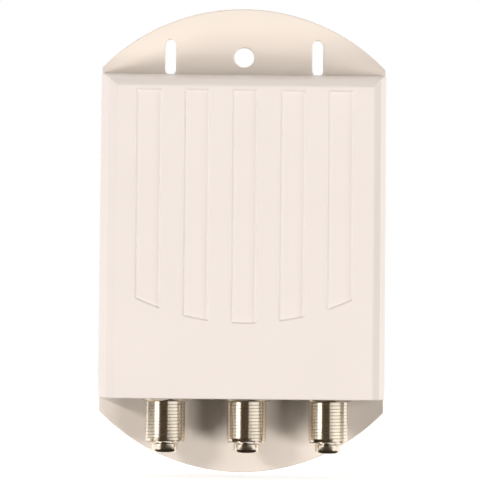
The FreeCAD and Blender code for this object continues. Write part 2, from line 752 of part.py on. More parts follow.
def make_jack_contact(name, across):
    """Spring contact of one jack: a tube for the cable's core and a flat tail soldered to the board."""
    body = new_body(name + "_jack_contact", across, S.jack_deep, case_low)
    tube = S.contact_wide / 2
    bore = S.contact_bore / 2
    low = -S.flange_thick - S.thread_long - S.nose_long + S.insulator_sunk + S.contact_sunk
    tube_high = S.case_wall + S.spigot_proud
    turned(body, [
        (bore, low),
        (tube, low),
        (tube, tube_high),
        (ZERO, tube_high),
        (ZERO, low + S.contact_deep),
        (bore, low + S.contact_deep),
    ])
    wide = S.tail_wide / 2
    thick = S.tail_thick / 2
    tail = box_sketch(body, "XY_Plane", tube_high, -wide, wide, -thick, thick)
    pad(body, tail, S.case_wall + S.board_foot + S.tail_on_board - tube_high)
    return body


def make_circuit_board():
    """Board screwed to the two posts at its top, its front face against the contact tails."""
    body = new_body("circuit_board", across=middle)
    half = inner_half - S.board_room
    sketch = box_sketch(body, "XZ_Plane", board_rear, -half, half, board_low, board_high)
    for side in SIDES:
        add_circle(sketch, post_half * side, post_high, S.board_hole)
    pad(body, sketch, S.board_thick)
    return body


def turned_screw(body, screw_wide, screw_long, head_wide, head_thick):
    """Cheese-head screw along the body's -Z, with a cross recess; its head seats at the origin."""
    head = head_wide / 2
    shank = turned(body, [
        (ZERO, -screw_long),
        (screw_wide / 2, -screw_long),
        (screw_wide / 2, ZERO),
        (head, ZERO),
        (head, head_thick),
        (ZERO, head_thick),
    ])
    cross = new_sketch(body, "XY_Plane", head_thick)
    arm = head / 2
    half = S.recess_wide / 2
    add_loop(cross, [
        (-arm, -half), (-half, -half), (-half, -arm), (half, -arm),
        (half, -half), (arm, -half), (arm, half), (half, half),
        (half, arm), (-half, arm), (-half, half), (-arm, half),
    ])
    recess = pocket(body, cross, head_thick / 2)
    return [shank, recess]


def make_module_screws():
    """Two screws that hold the module's ears on the plate."""
    seat = case_rear + S.ear_thick
    body = new_body("module_screws", middle - S.ear_spread / 2, seat, ear_screw_high, FORWARDS)
    made = turned_screw(body, S.ear_screw_wide, S.ear_screw_long, S.ear_head_wide, S.ear_head_thick)
    grid(body, made, S.ear_spread)
    return body


def make_board_screws():
    """Two screws that hold the board on the posts, driven from the rear."""
    body = new_body("board_screws", middle - post_half, board_rear, post_high, BACKWARDS)
    made = turned_screw(body, S.board_screw_wide, S.board_screw_long, S.board_head_wide, S.board_head_thick)
    grid(body, made, post_half * 2)
    return body


def on_board(label, across, height):
    """Start a part that stands on the rear of the board; its own +Z points to the lid."""
    return new_body(label, middle + across, board_rear, height, BACKWARDS)


def make_control_chip():
    """Flat chip with two rows of bent leads."""
    body = on_board("control_chip", ZERO, chip_height)
    half_long = S.chip_long / 2
    half_wide = S.chip_wide / 2
    block = box_sketch(body, "XY_Plane", S.chip_clear, -half_long, half_long, -half_wide, half_wide)
    pad(body, block, S.chip_thick)
    first = -S.lead_pitch * (S.lead_count - 1) / 2
    shoulder = S.chip_clear + S.chip_thick / 2
    reach = half_wide + S.lead_reach
    knee = half_wide + S.lead_reach / 2
    made = []
    for side in SIDES:
        lead = new_sketch(body, "YZ_Plane", first - S.lead_wide / 2)
        profile = [
            (half_wide - S.lead_thick, shoulder),
            (knee - S.lead_thick, shoulder),
            (knee - S.lead_thick, ZERO),
            (reach, ZERO),
            (reach, S.lead_thick),
            (knee, S.lead_thick),
            (knee, shoulder + S.lead_thick),
            (half_wide - S.lead_thick, shoulder + S.lead_thick),
        ]
        add_loop(lead, [(y * side, z) for y, z in profile])
        made.append(pad(body, lead, S.lead_wide))
    grid(body, made, S.lead_pitch * (S.lead_count - 1), S.lead_count)
    return body


def make_voltage_regulator():
    """Regulator with three leads on one side and a cooling tab on the other."""
    half_long = S.regulator_long / 2
    height = board_high - S.part_gap / 2 - regulator_half
    body = on_board("voltage_regulator", -upper_room + half_long, height)
    half_wide = S.regulator_wide / 2
    block = box_sketch(body, "XY_Plane", ZERO, -half_long, half_long, -half_wide, half_wide)
    pad(body, block, S.regulator_thick)
    feet = new_sketch(body, "XY_Plane", ZERO)
    tab = S.regulator_tab / 2
    root = half_wide - S.lead_thick
    end = half_wide + S.regulator_reach
    add_loop(feet, rectangle(-tab, tab, root, end))
    for step in (-1, 0, 1):
        x = S.regulator_pitch * step
        add_loop(feet, rectangle(x - S.regulator_lead / 2, x + S.regulator_lead / 2, -end, -root))
    pad(body, feet, S.lead_thick)
    return body


def make_choke_coils():
    """Three wound chokes on square feet, standing in a row above the jacks."""
    body = on_board("choke_coils", -jack_pitch, coil_height)
    half = S.coil_square / 2
    foot = pad(body, box_sketch(body, "XY_Plane", ZERO, -half, half, -half, half), S.coil_foot)
    winding = new_sketch(body, "XY_Plane", S.coil_foot)
    add_circle(winding, ZERO, ZERO, S.coil_wide)
    drum = pad(body, winding, S.coil_tall - S.coil_foot)
    grid(body, [foot, drum], jack_pitch * 2, 3)
    return body


def make_pin_diodes():
    """Three flat switching diodes with a lead at each end, one above each jack."""
    body = on_board("pin_diodes", -jack_pitch, diode_height)
    half_wide = S.diode_wide / 2
    half_long = S.diode_long / 2
    block = box_sketch(body, "XY_Plane", ZERO, -half_wide, half_wide, -half_long, half_long)
    made = [pad(body, block, S.diode_thick)]
    leads = new_sketch(body, "XY_Plane", ZERO)
    lead = S.diode_lead / 2
    for side in SIDES:
        root = (half_long - S.lead_thick) * side
        add_loop(leads, rectangle(-lead, lead, root, diode_half * side))
    made.append(pad(body, leads, S.lead_thick))
    grid(body, made, jack_pitch * 2, 3)
    return body


def make_small_parts(label, thick, columns, rows, first, low_row):
    """A group of small parts in rows, counted from its upper left one."""
    spread = small_step * (columns - 1)
    rise = small_pitch * (rows - 1)
    body = on_board(label, first, low_row + rise)
    half_long = S.chip_part_long / 2
    half_wide = S.chip_part_wide / 2
    block = box_sketch(body, "XY_Plane", ZERO, -half_long, half_long, -half_wide, half_wide)
    made = pad(body, block, thick)
    grid(body, [made], spread, columns, rise, rows)
    return body


def make_ceramic_capacitors():
    """Rows of ceramic capacitors above the chip."""
    first = -small_step * (S.capacitor_columns - 1) / 2
    columns = S.capacitor_columns
    return make_small_parts(
        "ceramic_capacitors", S.capacitor_thick, columns, S.capacitor_rows, first, first_row
    )


def make_resistors():
    """Rows of resistors beside the chip."""
    low_row = chip_height - small_pitch * (S.resistor_rows - 1) / 2
    return make_small_parts(
        "resistors", S.resistor_thick, S.resistor_columns, S.resistor_rows, first_column, low_row
    )


def make_electrolytic_capacitor():
    """Aluminium can on a square base with two cut corners."""
    half = S.can_square / 2
    body = on_board("electrolytic_capacitor", upper_room - half, board_high - S.part_gap / 2 - half)
    block = box_sketch(body, "XY_Plane", ZERO, -half, half, -half, half)
    pad(body, block, S.can_base)
    dress(body, "Chamfer", S.can_base, lambda edge: runs_along(edge, "z") and edge.BoundBox.XMin > 0)
    can = new_sketch(body, "XY_Plane", S.can_base)
    add_circle(can, ZERO, ZERO, S.can_wide)
    pad(body, can, S.can_tall - S.can_base)
    return body


parts = [make_back_plate(), make_sliding_hood(), make_module_case(), make_module_lid()]
for name, step in (("left", -1), ("middle", 0), ("right", 1)):
    across = middle + jack_pitch * step
    parts.append(make_jack_barrel(name, across))
    parts.append(make_jack_insulator(name, across))
    parts.append(make_jack_contact(name, across))
parts += [
    make_circuit_board(),
    make_control_chip(),
    make_voltage_regulator(),
    make_choke_coils(),
    make_pin_diodes(),
    make_ceramic_capacitors(),
    make_resistors(),
    make_electrolytic_capacitor(),
    make_module_screws(),
    make_board_screws(),
]

doc.recompute()
for thing in doc.Objects:
    if "Invalid" in thing.State or "Error" in thing.State:
        raise RuntimeError(f"{thing.Label} failed: {thing.State}")
for part in parts:
    if part.Shape.isNull() or not part.Shape.isValid() or not part.Shape.Solids:
        raise RuntimeError(f"{part.Label} has no valid solid")

os.makedirs("parts", exist_ok=True)
for part in parts:
    part.Shape.exportStep(f"parts/{part.Label}.step")
    print(f"{part.Label}: {len(part.Shape.Solids)} solids, {part.Shape.Volume:.1f} mm3")
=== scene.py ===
import math

import bmesh
import bpy
from bpy.props import FloatProperty, FloatVectorProperty, IntProperty, PointerProperty
from mathutils import Euler, Matrix, Vector


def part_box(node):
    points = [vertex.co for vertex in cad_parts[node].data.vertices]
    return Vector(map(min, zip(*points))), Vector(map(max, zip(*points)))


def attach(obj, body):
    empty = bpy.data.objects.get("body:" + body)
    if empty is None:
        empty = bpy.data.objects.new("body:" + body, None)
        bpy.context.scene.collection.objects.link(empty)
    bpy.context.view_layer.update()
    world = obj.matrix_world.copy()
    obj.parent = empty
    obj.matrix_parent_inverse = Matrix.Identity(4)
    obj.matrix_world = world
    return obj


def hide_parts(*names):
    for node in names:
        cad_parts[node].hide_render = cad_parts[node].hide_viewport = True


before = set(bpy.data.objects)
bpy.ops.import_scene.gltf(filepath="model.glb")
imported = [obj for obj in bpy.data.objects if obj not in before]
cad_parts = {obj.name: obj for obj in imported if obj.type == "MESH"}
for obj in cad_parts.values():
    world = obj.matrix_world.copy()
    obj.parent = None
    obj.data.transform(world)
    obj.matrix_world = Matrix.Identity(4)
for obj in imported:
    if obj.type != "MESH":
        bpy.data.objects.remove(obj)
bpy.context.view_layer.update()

bl_info = {
    "name": "Outdoor aerial switch",
    "version": (1, 0, 0),
    "blender": (4, 5, 0),
    "location": "View3D > Sidebar > Aerial switch",
    "description": "Outdoor aerial switch with wall plate, sliding weather hood and threaded jacks",
    "category": "Add Mesh",
}

# Everything is in metres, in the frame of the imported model: +Z up, the front towards -Y, and the
# origin in the wall-screw hole on the rear face of the plate.
MM = 0.001
SHARP = math.radians(32)  # an edge that folds more than this is shaded as a crease
ROUNDED = math.radians(35)  # an edge that folds more than this is rounded
HOOD_ROUNDED = math.radians(12)  # the same on the hood's shell
FLUTE_SHARE = 0.3  # rounding of the flutes' edges, as a share of the hood's
SAME_PLACE = 1e-7  # vertices closer than this are one
HAIR = 0.01 * MM  # told apart, but not seen

PLATE_LOW, PLATE_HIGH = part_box("back_plate")
HOOD_LOW, HOOD_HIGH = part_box("sliding_hood")
CASE_LOW, CASE_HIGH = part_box("module_case")

# Facets of round forms.
END_STEPS = 72
SLOT_STEPS = 14
HOLE_COLUMNS = 48
SLEEVE_COLUMNS = 48
CONTACT_COLUMNS = 36
NOSE_STEPS = 6
FLUTE_STEPS = 4  # columns on the bottom of a flute

# Small sizes of the moulding.
TAB_REACH = 1.9 * MM  # the module's foot tabs beside its case
TAB_THICK = 2.0 * MM
TAB_GAP = 0.3 * MM  # between a tab and its claw
CLAW_LOW = CASE_LOW.z + 2.0 * MM
CLAW_TALL = 5.0 * MM
RIB_THICK = 1.6 * MM
RIB_LOW = CASE_LOW.z + 2.0 * MM
RIB_HIGH = CASE_LOW.z + 44.0 * MM
EDGE = 0.15 * MM  # rounding of the guides, and chamfer of the jacks' inner pieces

# Small sizes of the jacks.
SPIGOT_EDGE = 0.2 * MM
THREAD_PROFILE = ((0.0, 0.0), (0.76, 0.0), (0.86, 1.0), (0.90, 1.0))  # shares of pitch and groove
NOSE_NECK = ((0.4, 0.0), (0.4, 0.3), (0.12, 0.36), (0.0, 0.5))  # in from the nose and down, in mm
NOSE_MOUTH = ((0.08, 0.0), (0.0, 0.15))  # out from the bore and up, in mm
FLANGE_FLAT = 0.05 * MM  # from the flange's flats in to its chamfer
OVERLAP = 0.3 * MM  # the flange starts this deep in the barrel
SLEEVE_PLAY = 0.03 * MM  # between a sleeve and its bore
CONTACT_DEEP = 9.0 * MM
CONTACT_MOUTH = (0.22 * MM, 0.05 * MM, 0.5 * MM)  # width, height of its rim, depth
TAIL_WIDE = 1.2 * MM
TAIL_THICK = 0.5 * MM
TAIL_REACH = 4.8 * MM  # beyond the inside of the case wall
TAIL_ROOT = 0.1 * MM  # the tail starts this deep in the tube

UNIT = "mounted_unit"
HOOD = "hood"
SIDES = (-1, 1)
JACKS = ("left", "middle", "right")


def number(name, value, description, **kind):
    """A setting with its name, its default, what it is and its unit."""
    return FloatProperty(name=name, description=description, default=value, **kind)


def length(name, millimetres, description):
    """A size that the sidebar shows with its unit. The value itself is in metres."""
    return number(name, millimetres * MM, description, unit="LENGTH", precision=5)


def angle(name, degrees, description):
    """An angle that the sidebar shows in degrees. The value itself is in radians."""
    return number(name, math.radians(degrees), description, subtype="ANGLE")


def colour(name, value, description):
    """A colour of a finish, as linear red, green and blue."""
    kind = {"subtype": "COLOR", "size": 3, "min": 0.0, "max": 1.0}
    return FloatVectorProperty(name=name, description=description, default=value, **kind)


class PlateSizes(bpy.types.PropertyGroup):
    """Sizes of the wall plate."""

    thick: length("Thickness", 2.2, "Thickness of the plate")
    end_radius: length("End radius", 49.0, "Radius of the two rounded ends")
    rounding: length("Rim rounding", 0.35, "Rounding of the plate's rims")
    hole: length("Screw hole", 5.0, "Diameter of the screw hole")
    slot_wide: length("Slot width", 2.7, "Width of a strap slot")
    slot_long: length("Slot length", 9.0, "Length of a strap slot")
    slot_spread: length("Slot spread", 36.6, "Distance between the strap slots")
    rail_inner: length("Rail place", 29.9, "Inner side of a guide rail from the middle")
    rail_web: length("Rail web", 1.3, "Thickness of a rail's web")
    rail_lip: length("Rail lip", 1.6, "Reach of a rail's lip")
    lip_rear: length("Lip place", 4.3, "Rear face of a rail's lip from the wall")
    lip_thick: length("Lip thickness", 1.5, "Thickness of a rail's lip")
    rail_low: length("Rail foot", -83.4, "Lower end of the rails")
    rail_high: length("Rail head", -25.2, "Upper end of the rails")
    rail_stop: length("Rail stop", 1.8, "Thickness of the stop at each end of a rail")
    claw_thick: length("Claw thickness", 1.5, "Thickness of a claw over the module's foot")
    claw_reach: length("Claw reach", 1.4, "Reach of a claw over the module's foot")
    boss: length("Screw boss", 7.0, "Diameter of a boss under the module's ears")
    boss_bore: length("Boss bore", 2.7, "Pilot hole in a boss")


class HoodSizes(bpy.types.PropertyGroup):
    """Sizes of the weather hood."""

    wall: length("Wall", 1.9, "Wall of the hood")
    bevel: length("Front bevel", 1.8, "Bevel round the front face")
    side_lean: length("Side lean", 2.8, "How far a side wall leans in towards the front")
    top_lean: length("Top lean", 3.8, "How far the top wall drops towards the front")
    rounding: length("Edge rounding", 0.38, "Rounding of the outer edges")
    flutes: IntProperty(name="Flutes", description="Number of flutes on the front", default=5)
    flute_pitch: length("Flute pitch", 11.46, "Distance between flutes")
    flute_wide: length("Flute width", 6.2, "Width of a flute")
    flute_deep: length("Flute depth", 0.5, "Depth of a flute")
    flute_flank: length("Flute flank", 0.42, "Width of a flute's sloping flank")
    flute_margin: length("Flute margin", 0.8, "Top of the flutes below the bevel")
    flute_rise: length("Flute rise", 17.9, "Lowest point of the flutes above the open end")
    flute_sweep: length("Flute sweep", 60.3, "Radius of the curve that ends the flutes")
    hook_long: length("Hook length", 36.0, "Length of the guide hooks")
    hook_thick: length("Hook thickness", 1.5, "Thickness of the guide hooks")
    hook_inner: length("Hook place", 31.5, "Inner edge of a guide hook from the middle")
    hook_high: length("Hook head", -27.3, "Upper end of the guide hooks")


class JackSizes(bpy.types.PropertyGroup):
    """Sizes of the threaded jacks."""

    bore: length("Bore", 4.2, "Bore of a jack")
    spigot: length("Spigot", 7.8, "Diameter of the spigot in the case wall")
    flange: length("Flange", 11.0, "Width of the six-sided flange over its flats")
    flange_thick: length("Flange thickness", 2.0, "Thickness of the flange")
    flange_turn: angle("Flange turn", 13, "How far a corner of the flange stands to the right")
    flange_chamfer: angle("Flange chamfer", 30, "Slope of the chamfer on the flange's corners")
    thread: length("Thread", 9.525, "Diameter over the thread's crests")
    pitch: length("Pitch", 25.4 / 32, "Distance between two crests of the thread")
    groove: length("Groove", 0.15, "Depth of the thread's groove")
    thread_long: length("Thread length", 9.9, "Length of the thread")
    lead_in: length("Lead-in", 0.4, "Chamfer at the end of the thread")
    nose: length("Nose", 6.3, "Diameter of the nose at the thread")
    nose_long: length("Nose length", 2.6, "Length of the nose")
    nose_round: length("Nose rounding", 0.85, "Rounding of the nose's tip")
    contact: length("Contact", 2.2, "Outer diameter of the centre contact")
    contact_bore: length("Contact bore", 1.1, "Bore of the centre contact")
    sunk: length("Insulator place", 0.3, "Insulator inside the mouth of the jack")
    contact_sunk: length("Contact place", 0.4, "Contact inside the face of the insulator")
    case_wall: length("Case wall", 1.6, "Wall that the spigot passes through")
    spigot_proud: length("Spigot reach", 0.8, "Spigot beyond the inside of the case wall")
    columns: IntProperty(name="Columns", description="Facets round a jack", default=96)


class Finishes(bpy.types.PropertyGroup):
    """Colours of the finishes."""

    hood: colour("Hood plastic", (0.87, 0.815, 0.785), "Off-white plastic of the hood")
    plate: colour("Plate plastic", (0.835, 0.77, 0.70), "Off-white plastic of the plate")
    nickel: colour("Nickel", (0.84, 0.765, 0.66), "Plating of the jacks")
    zinc: colour("Cast zinc", (0.50, 0.50, 0.51), "Bare casting of the module case")
    tinplate: colour("Tinplate", (0.62, 0.62, 0.60), "Lid of the module")
    core: colour("Jack plastic", (0.82, 0.79, 0.72), "Plastic core of the jacks")
    bronze: colour("Contact metal", (0.72, 0.60, 0.38), "Spring metal of the contacts")
    laminate: colour("Board lacquer", (0.02, 0.115, 0.045), "Green lacquer of the board")
    resin: colour("Chip resin", (0.018, 0.018, 0.02), "Black resin of the chips")
    copper: colour("Winding", (0.42, 0.13, 0.05), "Enamelled wire of the chokes")
    ceramic: colour("Ceramic", (0.42, 0.28, 0.16), "Body of the ceramic capacitors")
    resistor: colour("Resistor", (0.03, 0.03, 0.034), "Body of the resistors")
    can: colour("Can", (0.70, 0.71, 0.73), "Aluminium can of the capacitor")
    steel: colour("Screw steel", (0.55, 0.54, 0.52), "Zinc-plated steel of the screws")
    paper: colour("Floor paper", (0.55, 0.53, 0.49), "Pale paper of the floor")
    felt: colour("Dark felt", (0.09, 0.073, 0.052), "Felt of the flag that metal shows")


class StageSettings(bpy.types.PropertyGroup):
    """Camera and backdrop."""

    camera_x: length("Camera across", -9.0, "Camera across the plate")
    camera_y: length("Camera distance", -660.1, "Camera in front of the wall")
    camera_z: length("Camera height", -78.9, "Camera height in the part's frame")
    lens: number("Lens", 199.33, "Focal length", unit="CAMERA")
    pan: angle("Pan", 0.726, "Camera turned to the right")
    tilt: angle("Tilt", 2.907, "Camera tipped upwards")
    roll: angle("Roll", 0.531, "Camera rolled")
    room: number("Room light", 0.02, "Strength of the light from the room in front")
    wall: number("Upper backdrop", 1.62, "Strength of the backdrop's light from above")
    skirting: number("Lower backdrop", 0.38, "Strength of the backdrop's light from below")


# The softboxes: name, degrees to the right of the front, degrees up, width and height and distance
# in metres, watts. Metal shows only the card, which lights nothing else.
SOFTBOXES = (
    ("left_softbox", -43.0, -18.0, (0.7, 0.6), 3.0, 42.0),
    ("right_softbox", 33.0, -12.5, (0.8, 0.55), 3.0, 31.0),
    ("upper_softbox", 70.0, 11.0, (1.05, 0.62), 3.0, 30.0),
    ("side_softbox", -76.0, 3.0, (0.6, 0.9), 3.0, 11.0),
    ("flank_softbox", 62.0, -3.0, (0.6, 0.6), 3.0, 9.4),
    ("high_softbox", -35.0, 15.0, (0.6, 0.3), 3.0, 28.0),
)
LEFT_CARD = ("left_card", -51.0, 3.4, (0.8, 0.33), 2.2, 3.6)
LAMP_TINT = (1.0, 0.955, 0.92)

# The dark flag, in metres: cards that lie on the floor before the jacks, and the feet of cards that
# stand on it.
LYING_CARDS = (
    ((-0.045, -0.012), (0.045, -0.012), (0.05, -0.024), (-0.05, -0.024)),
    ((-0.035, -0.024), (0.04, -0.024), (0.05, -0.06), (-0.05, -0.06)),
    ((-0.08, -0.06), (0.07, -0.06), (0.14, -0.34), (-0.235, -0.34)),
)
STANDING_CARDS = (
    ((-0.235, -0.34), (0.07, -0.34)),
    ((-0.50, -0.26), (-0.50, 0.30)),
    ((0.50, -0.15), (0.50, 0.12)),
)
CARD_TALL = 0.12
FLAG_LIFT = 0.1 * MM  # above the plate's lower end
FLOOR_GAP = 0.2 * MM  # below it
FLOOR_CORNERS = ((-3.0, -3.0), (3.0, -3.0), (3.0, 3.0), (-3.0, 3.0))
PAPER_GLOW = 0.78  # what makes the floor show as white
HORIZON = (-0.1, 0.3)  # where the backdrop's light begins to change, and where it ends
SENSOR = 36.0  # millimetres
CAMERA_RANGE = (0.01, 20.0)


def sizes(context, group):
    """The settings of one group, kept with the scene."""
    return getattr(context.scene, "aerial_switch_" + group)


# Meshes

def smooth_mesh(name, vertices, faces, sharp=SHARP):
    """A mesh with smooth shading that breaks at its sharp edges."""
    mesh = bpy.data.meshes.new(name)
    mesh.from_pydata(vertices, [], faces)
    work = bmesh.new()
    work.from_mesh(mesh)
    bmesh.ops.remove_doubles(work, verts=work.verts, dist=SAME_PLACE)
    bmesh.ops.dissolve_degenerate(work, edges=work.edges, dist=SAME_PLACE)
    bmesh.ops.recalc_face_normals(work, faces=work.faces)
    work.to_mesh(mesh)
    work.free()
    mesh.polygons.foreach_set("use_smooth", [True] * len(mesh.polygons))
    if sharp is not None:
        mesh.set_sharp_from_angle(angle=sharp)
    mesh.update()
    return mesh


def add_piece(name, mesh, body, slot, replaces=()):
    """Put a mesh in the scene as a piece that rides on a body, with the finish of its slot."""
    piece = bpy.data.objects.new(name, mesh)
    bpy.context.scene.collection.objects.link(piece)
    mesh.materials.append(finish(slot))
    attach(piece, body)
    if replaces:
        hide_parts(*replaces)
    return piece


def round_edges(piece, width, segments=2, method="ANGLE"):
    """Round a piece's sharp edges, or those that have a weight."""
    modifier = piece.modifiers.new("edge_rounding", "BEVEL")
    modifier.width = width
    modifier.segments = segments
    modifier.limit_method = method
    modifier.angle_limit = ROUNDED
    modifier.harden_normals = True


def dress_node(node, slot, rounding, segments):
    """Give a node of the frame its finish, and round its edges."""
    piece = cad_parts[node]
    mesh = piece.data
    mesh.materials.clear()
    mesh.materials.append(finish(slot))
    mesh.polygons.foreach_set("material_index", [0] * len(mesh.polygons))
    mesh.polygons.foreach_set("use_smooth", [True] * len(mesh.polygons))
    round_edges(piece, rounding, segments)


def extruded(vertices, faces, profile, low, high):
    """Add a bar with a profile of (across, depth) that runs from one height to another."""
    base = len(vertices)
    count = len(profile)
    for height in (low, high):
        vertices.extend((x, -depth, height) for x, depth in profile)
    faces.append([base + i for i in range(count)])
    faces.append([base + count + i for i in reversed(range(count))])
    for i in range(count):
        j = (i + 1) % count
        faces.append([base + i, base + j, base + count + j, base + count + i])


def box_profile(x0, x1, depth0, depth1):
    """The profile of a rectangular bar."""
    return [(x0, depth0), (x1, depth0), (x1, depth1), (x0, depth1)]


def arc(centre_x, centre_z, radius, start, stop, steps):
    """Points on an arc, its two ends included, with the angles in radians."""
    points = []
    for i in range(steps + 1):
        turn = start + (stop - start) * i / steps
        points.append((centre_x + radius * math.cos(turn), centre_z + radius * math.sin(turn)))
    return points


def flat_sheet(name, outline, holes, thick, rounding):
    """A sheet from its outline and holes, with rounded rims, its rear face on the wall."""
    curve = bpy.data.curves.new(name + "_outline", "CURVE")
    curve.dimensions = "2D"
    curve.fill_mode = "BOTH"
    curve.extrude = thick / 2 - rounding
    curve.bevel_depth = rounding
    curve.bevel_resolution = 3
    curve.offset = -rounding
    for loop in [outline] + holes:
        spline = curve.splines.new("POLY")
        spline.points.add(len(loop) - 1)
        for point, (x, z) in zip(spline.points, loop):
            point.co = (x, z, 0.0, 1.0)
        spline.use_cyclic_u = True
    shape = bpy.data.objects.new(name + "_outline", curve)
    bpy.context.scene.collection.objects.link(shape)
    bpy.context.view_layer.update()
    graph = bpy.context.evaluated_depsgraph_get()
    mesh = bpy.data.meshes.new_from_object(shape.evaluated_get(graph))
    bpy.data.objects.remove(shape)
    mesh.name = name
    upright = Matrix.Rotation(math.radians(90), 4, "X")
    mesh.transform(Matrix.Translation((0.0, -thick / 2, 0.0)) @ upright)
    mesh.polygons.foreach_set("use_smooth", [True] * len(mesh.polygons))
    mesh.set_sharp_from_angle(angle=SHARP)
    return mesh


def lathe(rows, columns):
    """Vertices and faces of rows turned round the Z axis.

    A row is a function from the column to (radius, height). The rows close into a ring.
    """
    vertices = []
    for row in rows:
        for i in range(columns):
            radius, height = row(i)
            turn = 2 * math.pi * i / columns
            vertices.append((radius * math.cos(turn), radius * math.sin(turn), height))
    faces = []
    for k in range(len(rows)):
        here = k * columns
        there = (k + 1) % len(rows) * columns
        for i in range(columns):
            j = (i + 1) % columns
            faces.append([here + i, here + j, there + j, there + i])
    return vertices, faces


def plain_row(radius, height):
    """A row for lathe that is a circle."""
    return lambda i: (radius, height)


def moved(vertices, x, y, z):
    """The vertices shifted by x, y and z."""
    return [(vx + x, vy + y, vz + z) for vx, vy, vz in vertices]


# Shader groups and finishes

LOW_SHINE = 0.2  # specular level of surfaces with little shine
WHITE = (1.0, 1.0, 1.0, 1.0)
WARM = (1.0, 0.92, 0.84, 1.0)


def feed(tree, node, inputs):
    """Give a node its inputs, each a socket or a plain value."""
    for name, value in inputs.items():
        if isinstance(value, bpy.types.NodeSocket):
            tree.links.new(value, node.inputs[name])
        else:
            node.inputs[name].default_value = value


def add_node(tree, kind, inputs, **choices):
    """Add a shader node with its inputs and its other choices."""
    node = tree.nodes.new("ShaderNode" + kind)
    for name, value in choices.items():
        setattr(node, name, value)
    feed(tree, node, inputs)
    return node


def new_group(name, colours, numbers):
    """Start a shader group that puts out a colour, a roughness and a height."""
    group = bpy.data.node_groups.new(name, "ShaderNodeTree")
    sockets = [(label, "INPUT", "Color") for label in colours]
    sockets += [(label, "INPUT", "Float") for label in numbers]
    sockets += [("Colour", "OUTPUT", "Color"), ("Roughness", "OUTPUT", "Float")]
    sockets += [("Height", "OUTPUT", "Float")]
    for label, way, kind in sockets:
        group.interface.new_socket(name=label, in_out=way, socket_type="NodeSocket" + kind)
    return group, group.nodes.new("NodeGroupInput").outputs, group.nodes.new("NodeGroupOutput")


def own_place(tree):
    """The place on a piece, in its own coordinates."""
    return tree.nodes.new("ShaderNodeTexCoord").outputs["Object"]


def noise(tree, position, scale, detail=3.0, roughness=0.5, stretch=None):
    """A noise texture over the piece's own coordinates, or over stretched ones."""
    if stretch is not None:
        mapping = add_node(tree, "Mapping", {"Scale": stretch, "Vector": position})
        position = mapping.outputs["Vector"]
    inputs = {"Vector": position, "Scale": scale, "Detail": detail, "Roughness": roughness}
    return add_node(tree, "TexNoise", inputs).outputs["Fac"]


def spread(tree, value, low, high):
    """Map a value from 0..1 to low..high."""
    inputs = {"Value": value, "To Min": low, "To Max": high}
    return add_node(tree, "MapRange", inputs).outputs["Result"]


def calculate(tree, operation, first, second):
    """A maths node on two things, each a socket or a plain number."""
    return add_node(tree, "Math", {0: first, 1: second}, operation=operation).outputs["Value"]


def blend_colours(tree, factor, first, second):
    """A mix of two colours, each a socket or a plain colour."""
    inputs = {"Factor": factor, 6: first, 7: second}
    return add_node(tree, "Mix", inputs, data_type="RGBA").outputs[2]


def make_moulded_skin():
    """Moulded plastic: soft mottling of the colour, faint grime, fine spark-eroded grain."""
    inputs = ("Colour", "Shade"), ("Grain", "Roughness")
    group, given, result = new_group("moulded_skin", *inputs)
    place = own_place(group)
    mottling = spread(group, noise(group, place, 38.0, detail=4.0), -0.25, 0.65)
    smears = noise(group, place, 160.0, detail=5.0, stretch=(1.0, 1.0, 0.35))
    grain = noise(group, place, given["Grain"], detail=2.0)
    swells = calculate(group, "MULTIPLY", noise(group, place, 120.0, detail=2.0), 2.0)
    dulling = spread(group, smears, -0.07, 0.07)
    feed(group, result, {
        "Colour": blend_colours(group, mottling, given["Colour"], given["Shade"]),
        "Roughness": calculate(group, "ADD", given["Roughness"], dulling),
        "Height": calculate(group, "ADD", grain, swells),
    })


def make_rubbed_metal():
    """Plated or cast metal: tarnish in patches, fine rubbing marks, pits."""
    inputs = ("Colour", "Tarnish"), ("Amount", "Scale", "Roughness")
    group, given, result = new_group("rubbed_metal", *inputs)
    place = own_place(group)
    patches = noise(group, place, 260.0, detail=5.0, roughness=0.6)
    dull = calculate(group, "MULTIPLY", spread(group, patches, -0.6, 1.6), given["Amount"])
    marks = noise(group, place, given["Scale"], detail=4.0, stretch=(1.0, 1.0, 5.0))
    rough = calculate(group, "ADD", given["Roughness"], spread(group, marks, -0.05, 0.09))
    pits = noise(group, place, given["Scale"], detail=3.0)
    feed(group, result, {
        "Colour": blend_colours(group, dull, given["Colour"], given["Tarnish"]),
        "Roughness": calculate(group, "ADD", rough, calculate(group, "MULTIPLY", dull, 0.1)),
        "Height": calculate(group, "ADD", marks, pits),
    })


def new_finish(name):
    """Start a material with its Principled shader."""
    material = bpy.data.materials.new(name)
    material.use_nodes = True
    tree = material.node_tree
    shader = next(node for node in tree.nodes if node.type == "BSDF_PRINCIPLED")
    return material, tree, shader


def bump(tree, height, shader, distance):
    """Give a shader a relief of so many metres."""
    relief = add_node(tree, "Bump", {"Distance": distance, "Height": height})
    feed(tree, shader, {"Normal": relief.outputs["Normal"]})


def grouped_finish(name, group_name, distance, values):
    """The shader of a material whose colour, roughness and relief come from a shader group."""
    _, tree, shader = new_finish(name + "_finish")
    group = add_node(tree, "Group", {}, node_tree=bpy.data.node_groups[group_name])
    feed(tree, group, values)
    colour, roughness, height = group.outputs
    feed(tree, shader, {"Base Color": colour, "Roughness": roughness})
    bump(tree, height, shader, distance)
    return shader


def opaque(colour, factor=1.0):
    """A colour, made lighter or darker, with full alpha."""
    return tuple(min(1.0, c * factor) for c in colour) + (1.0,)


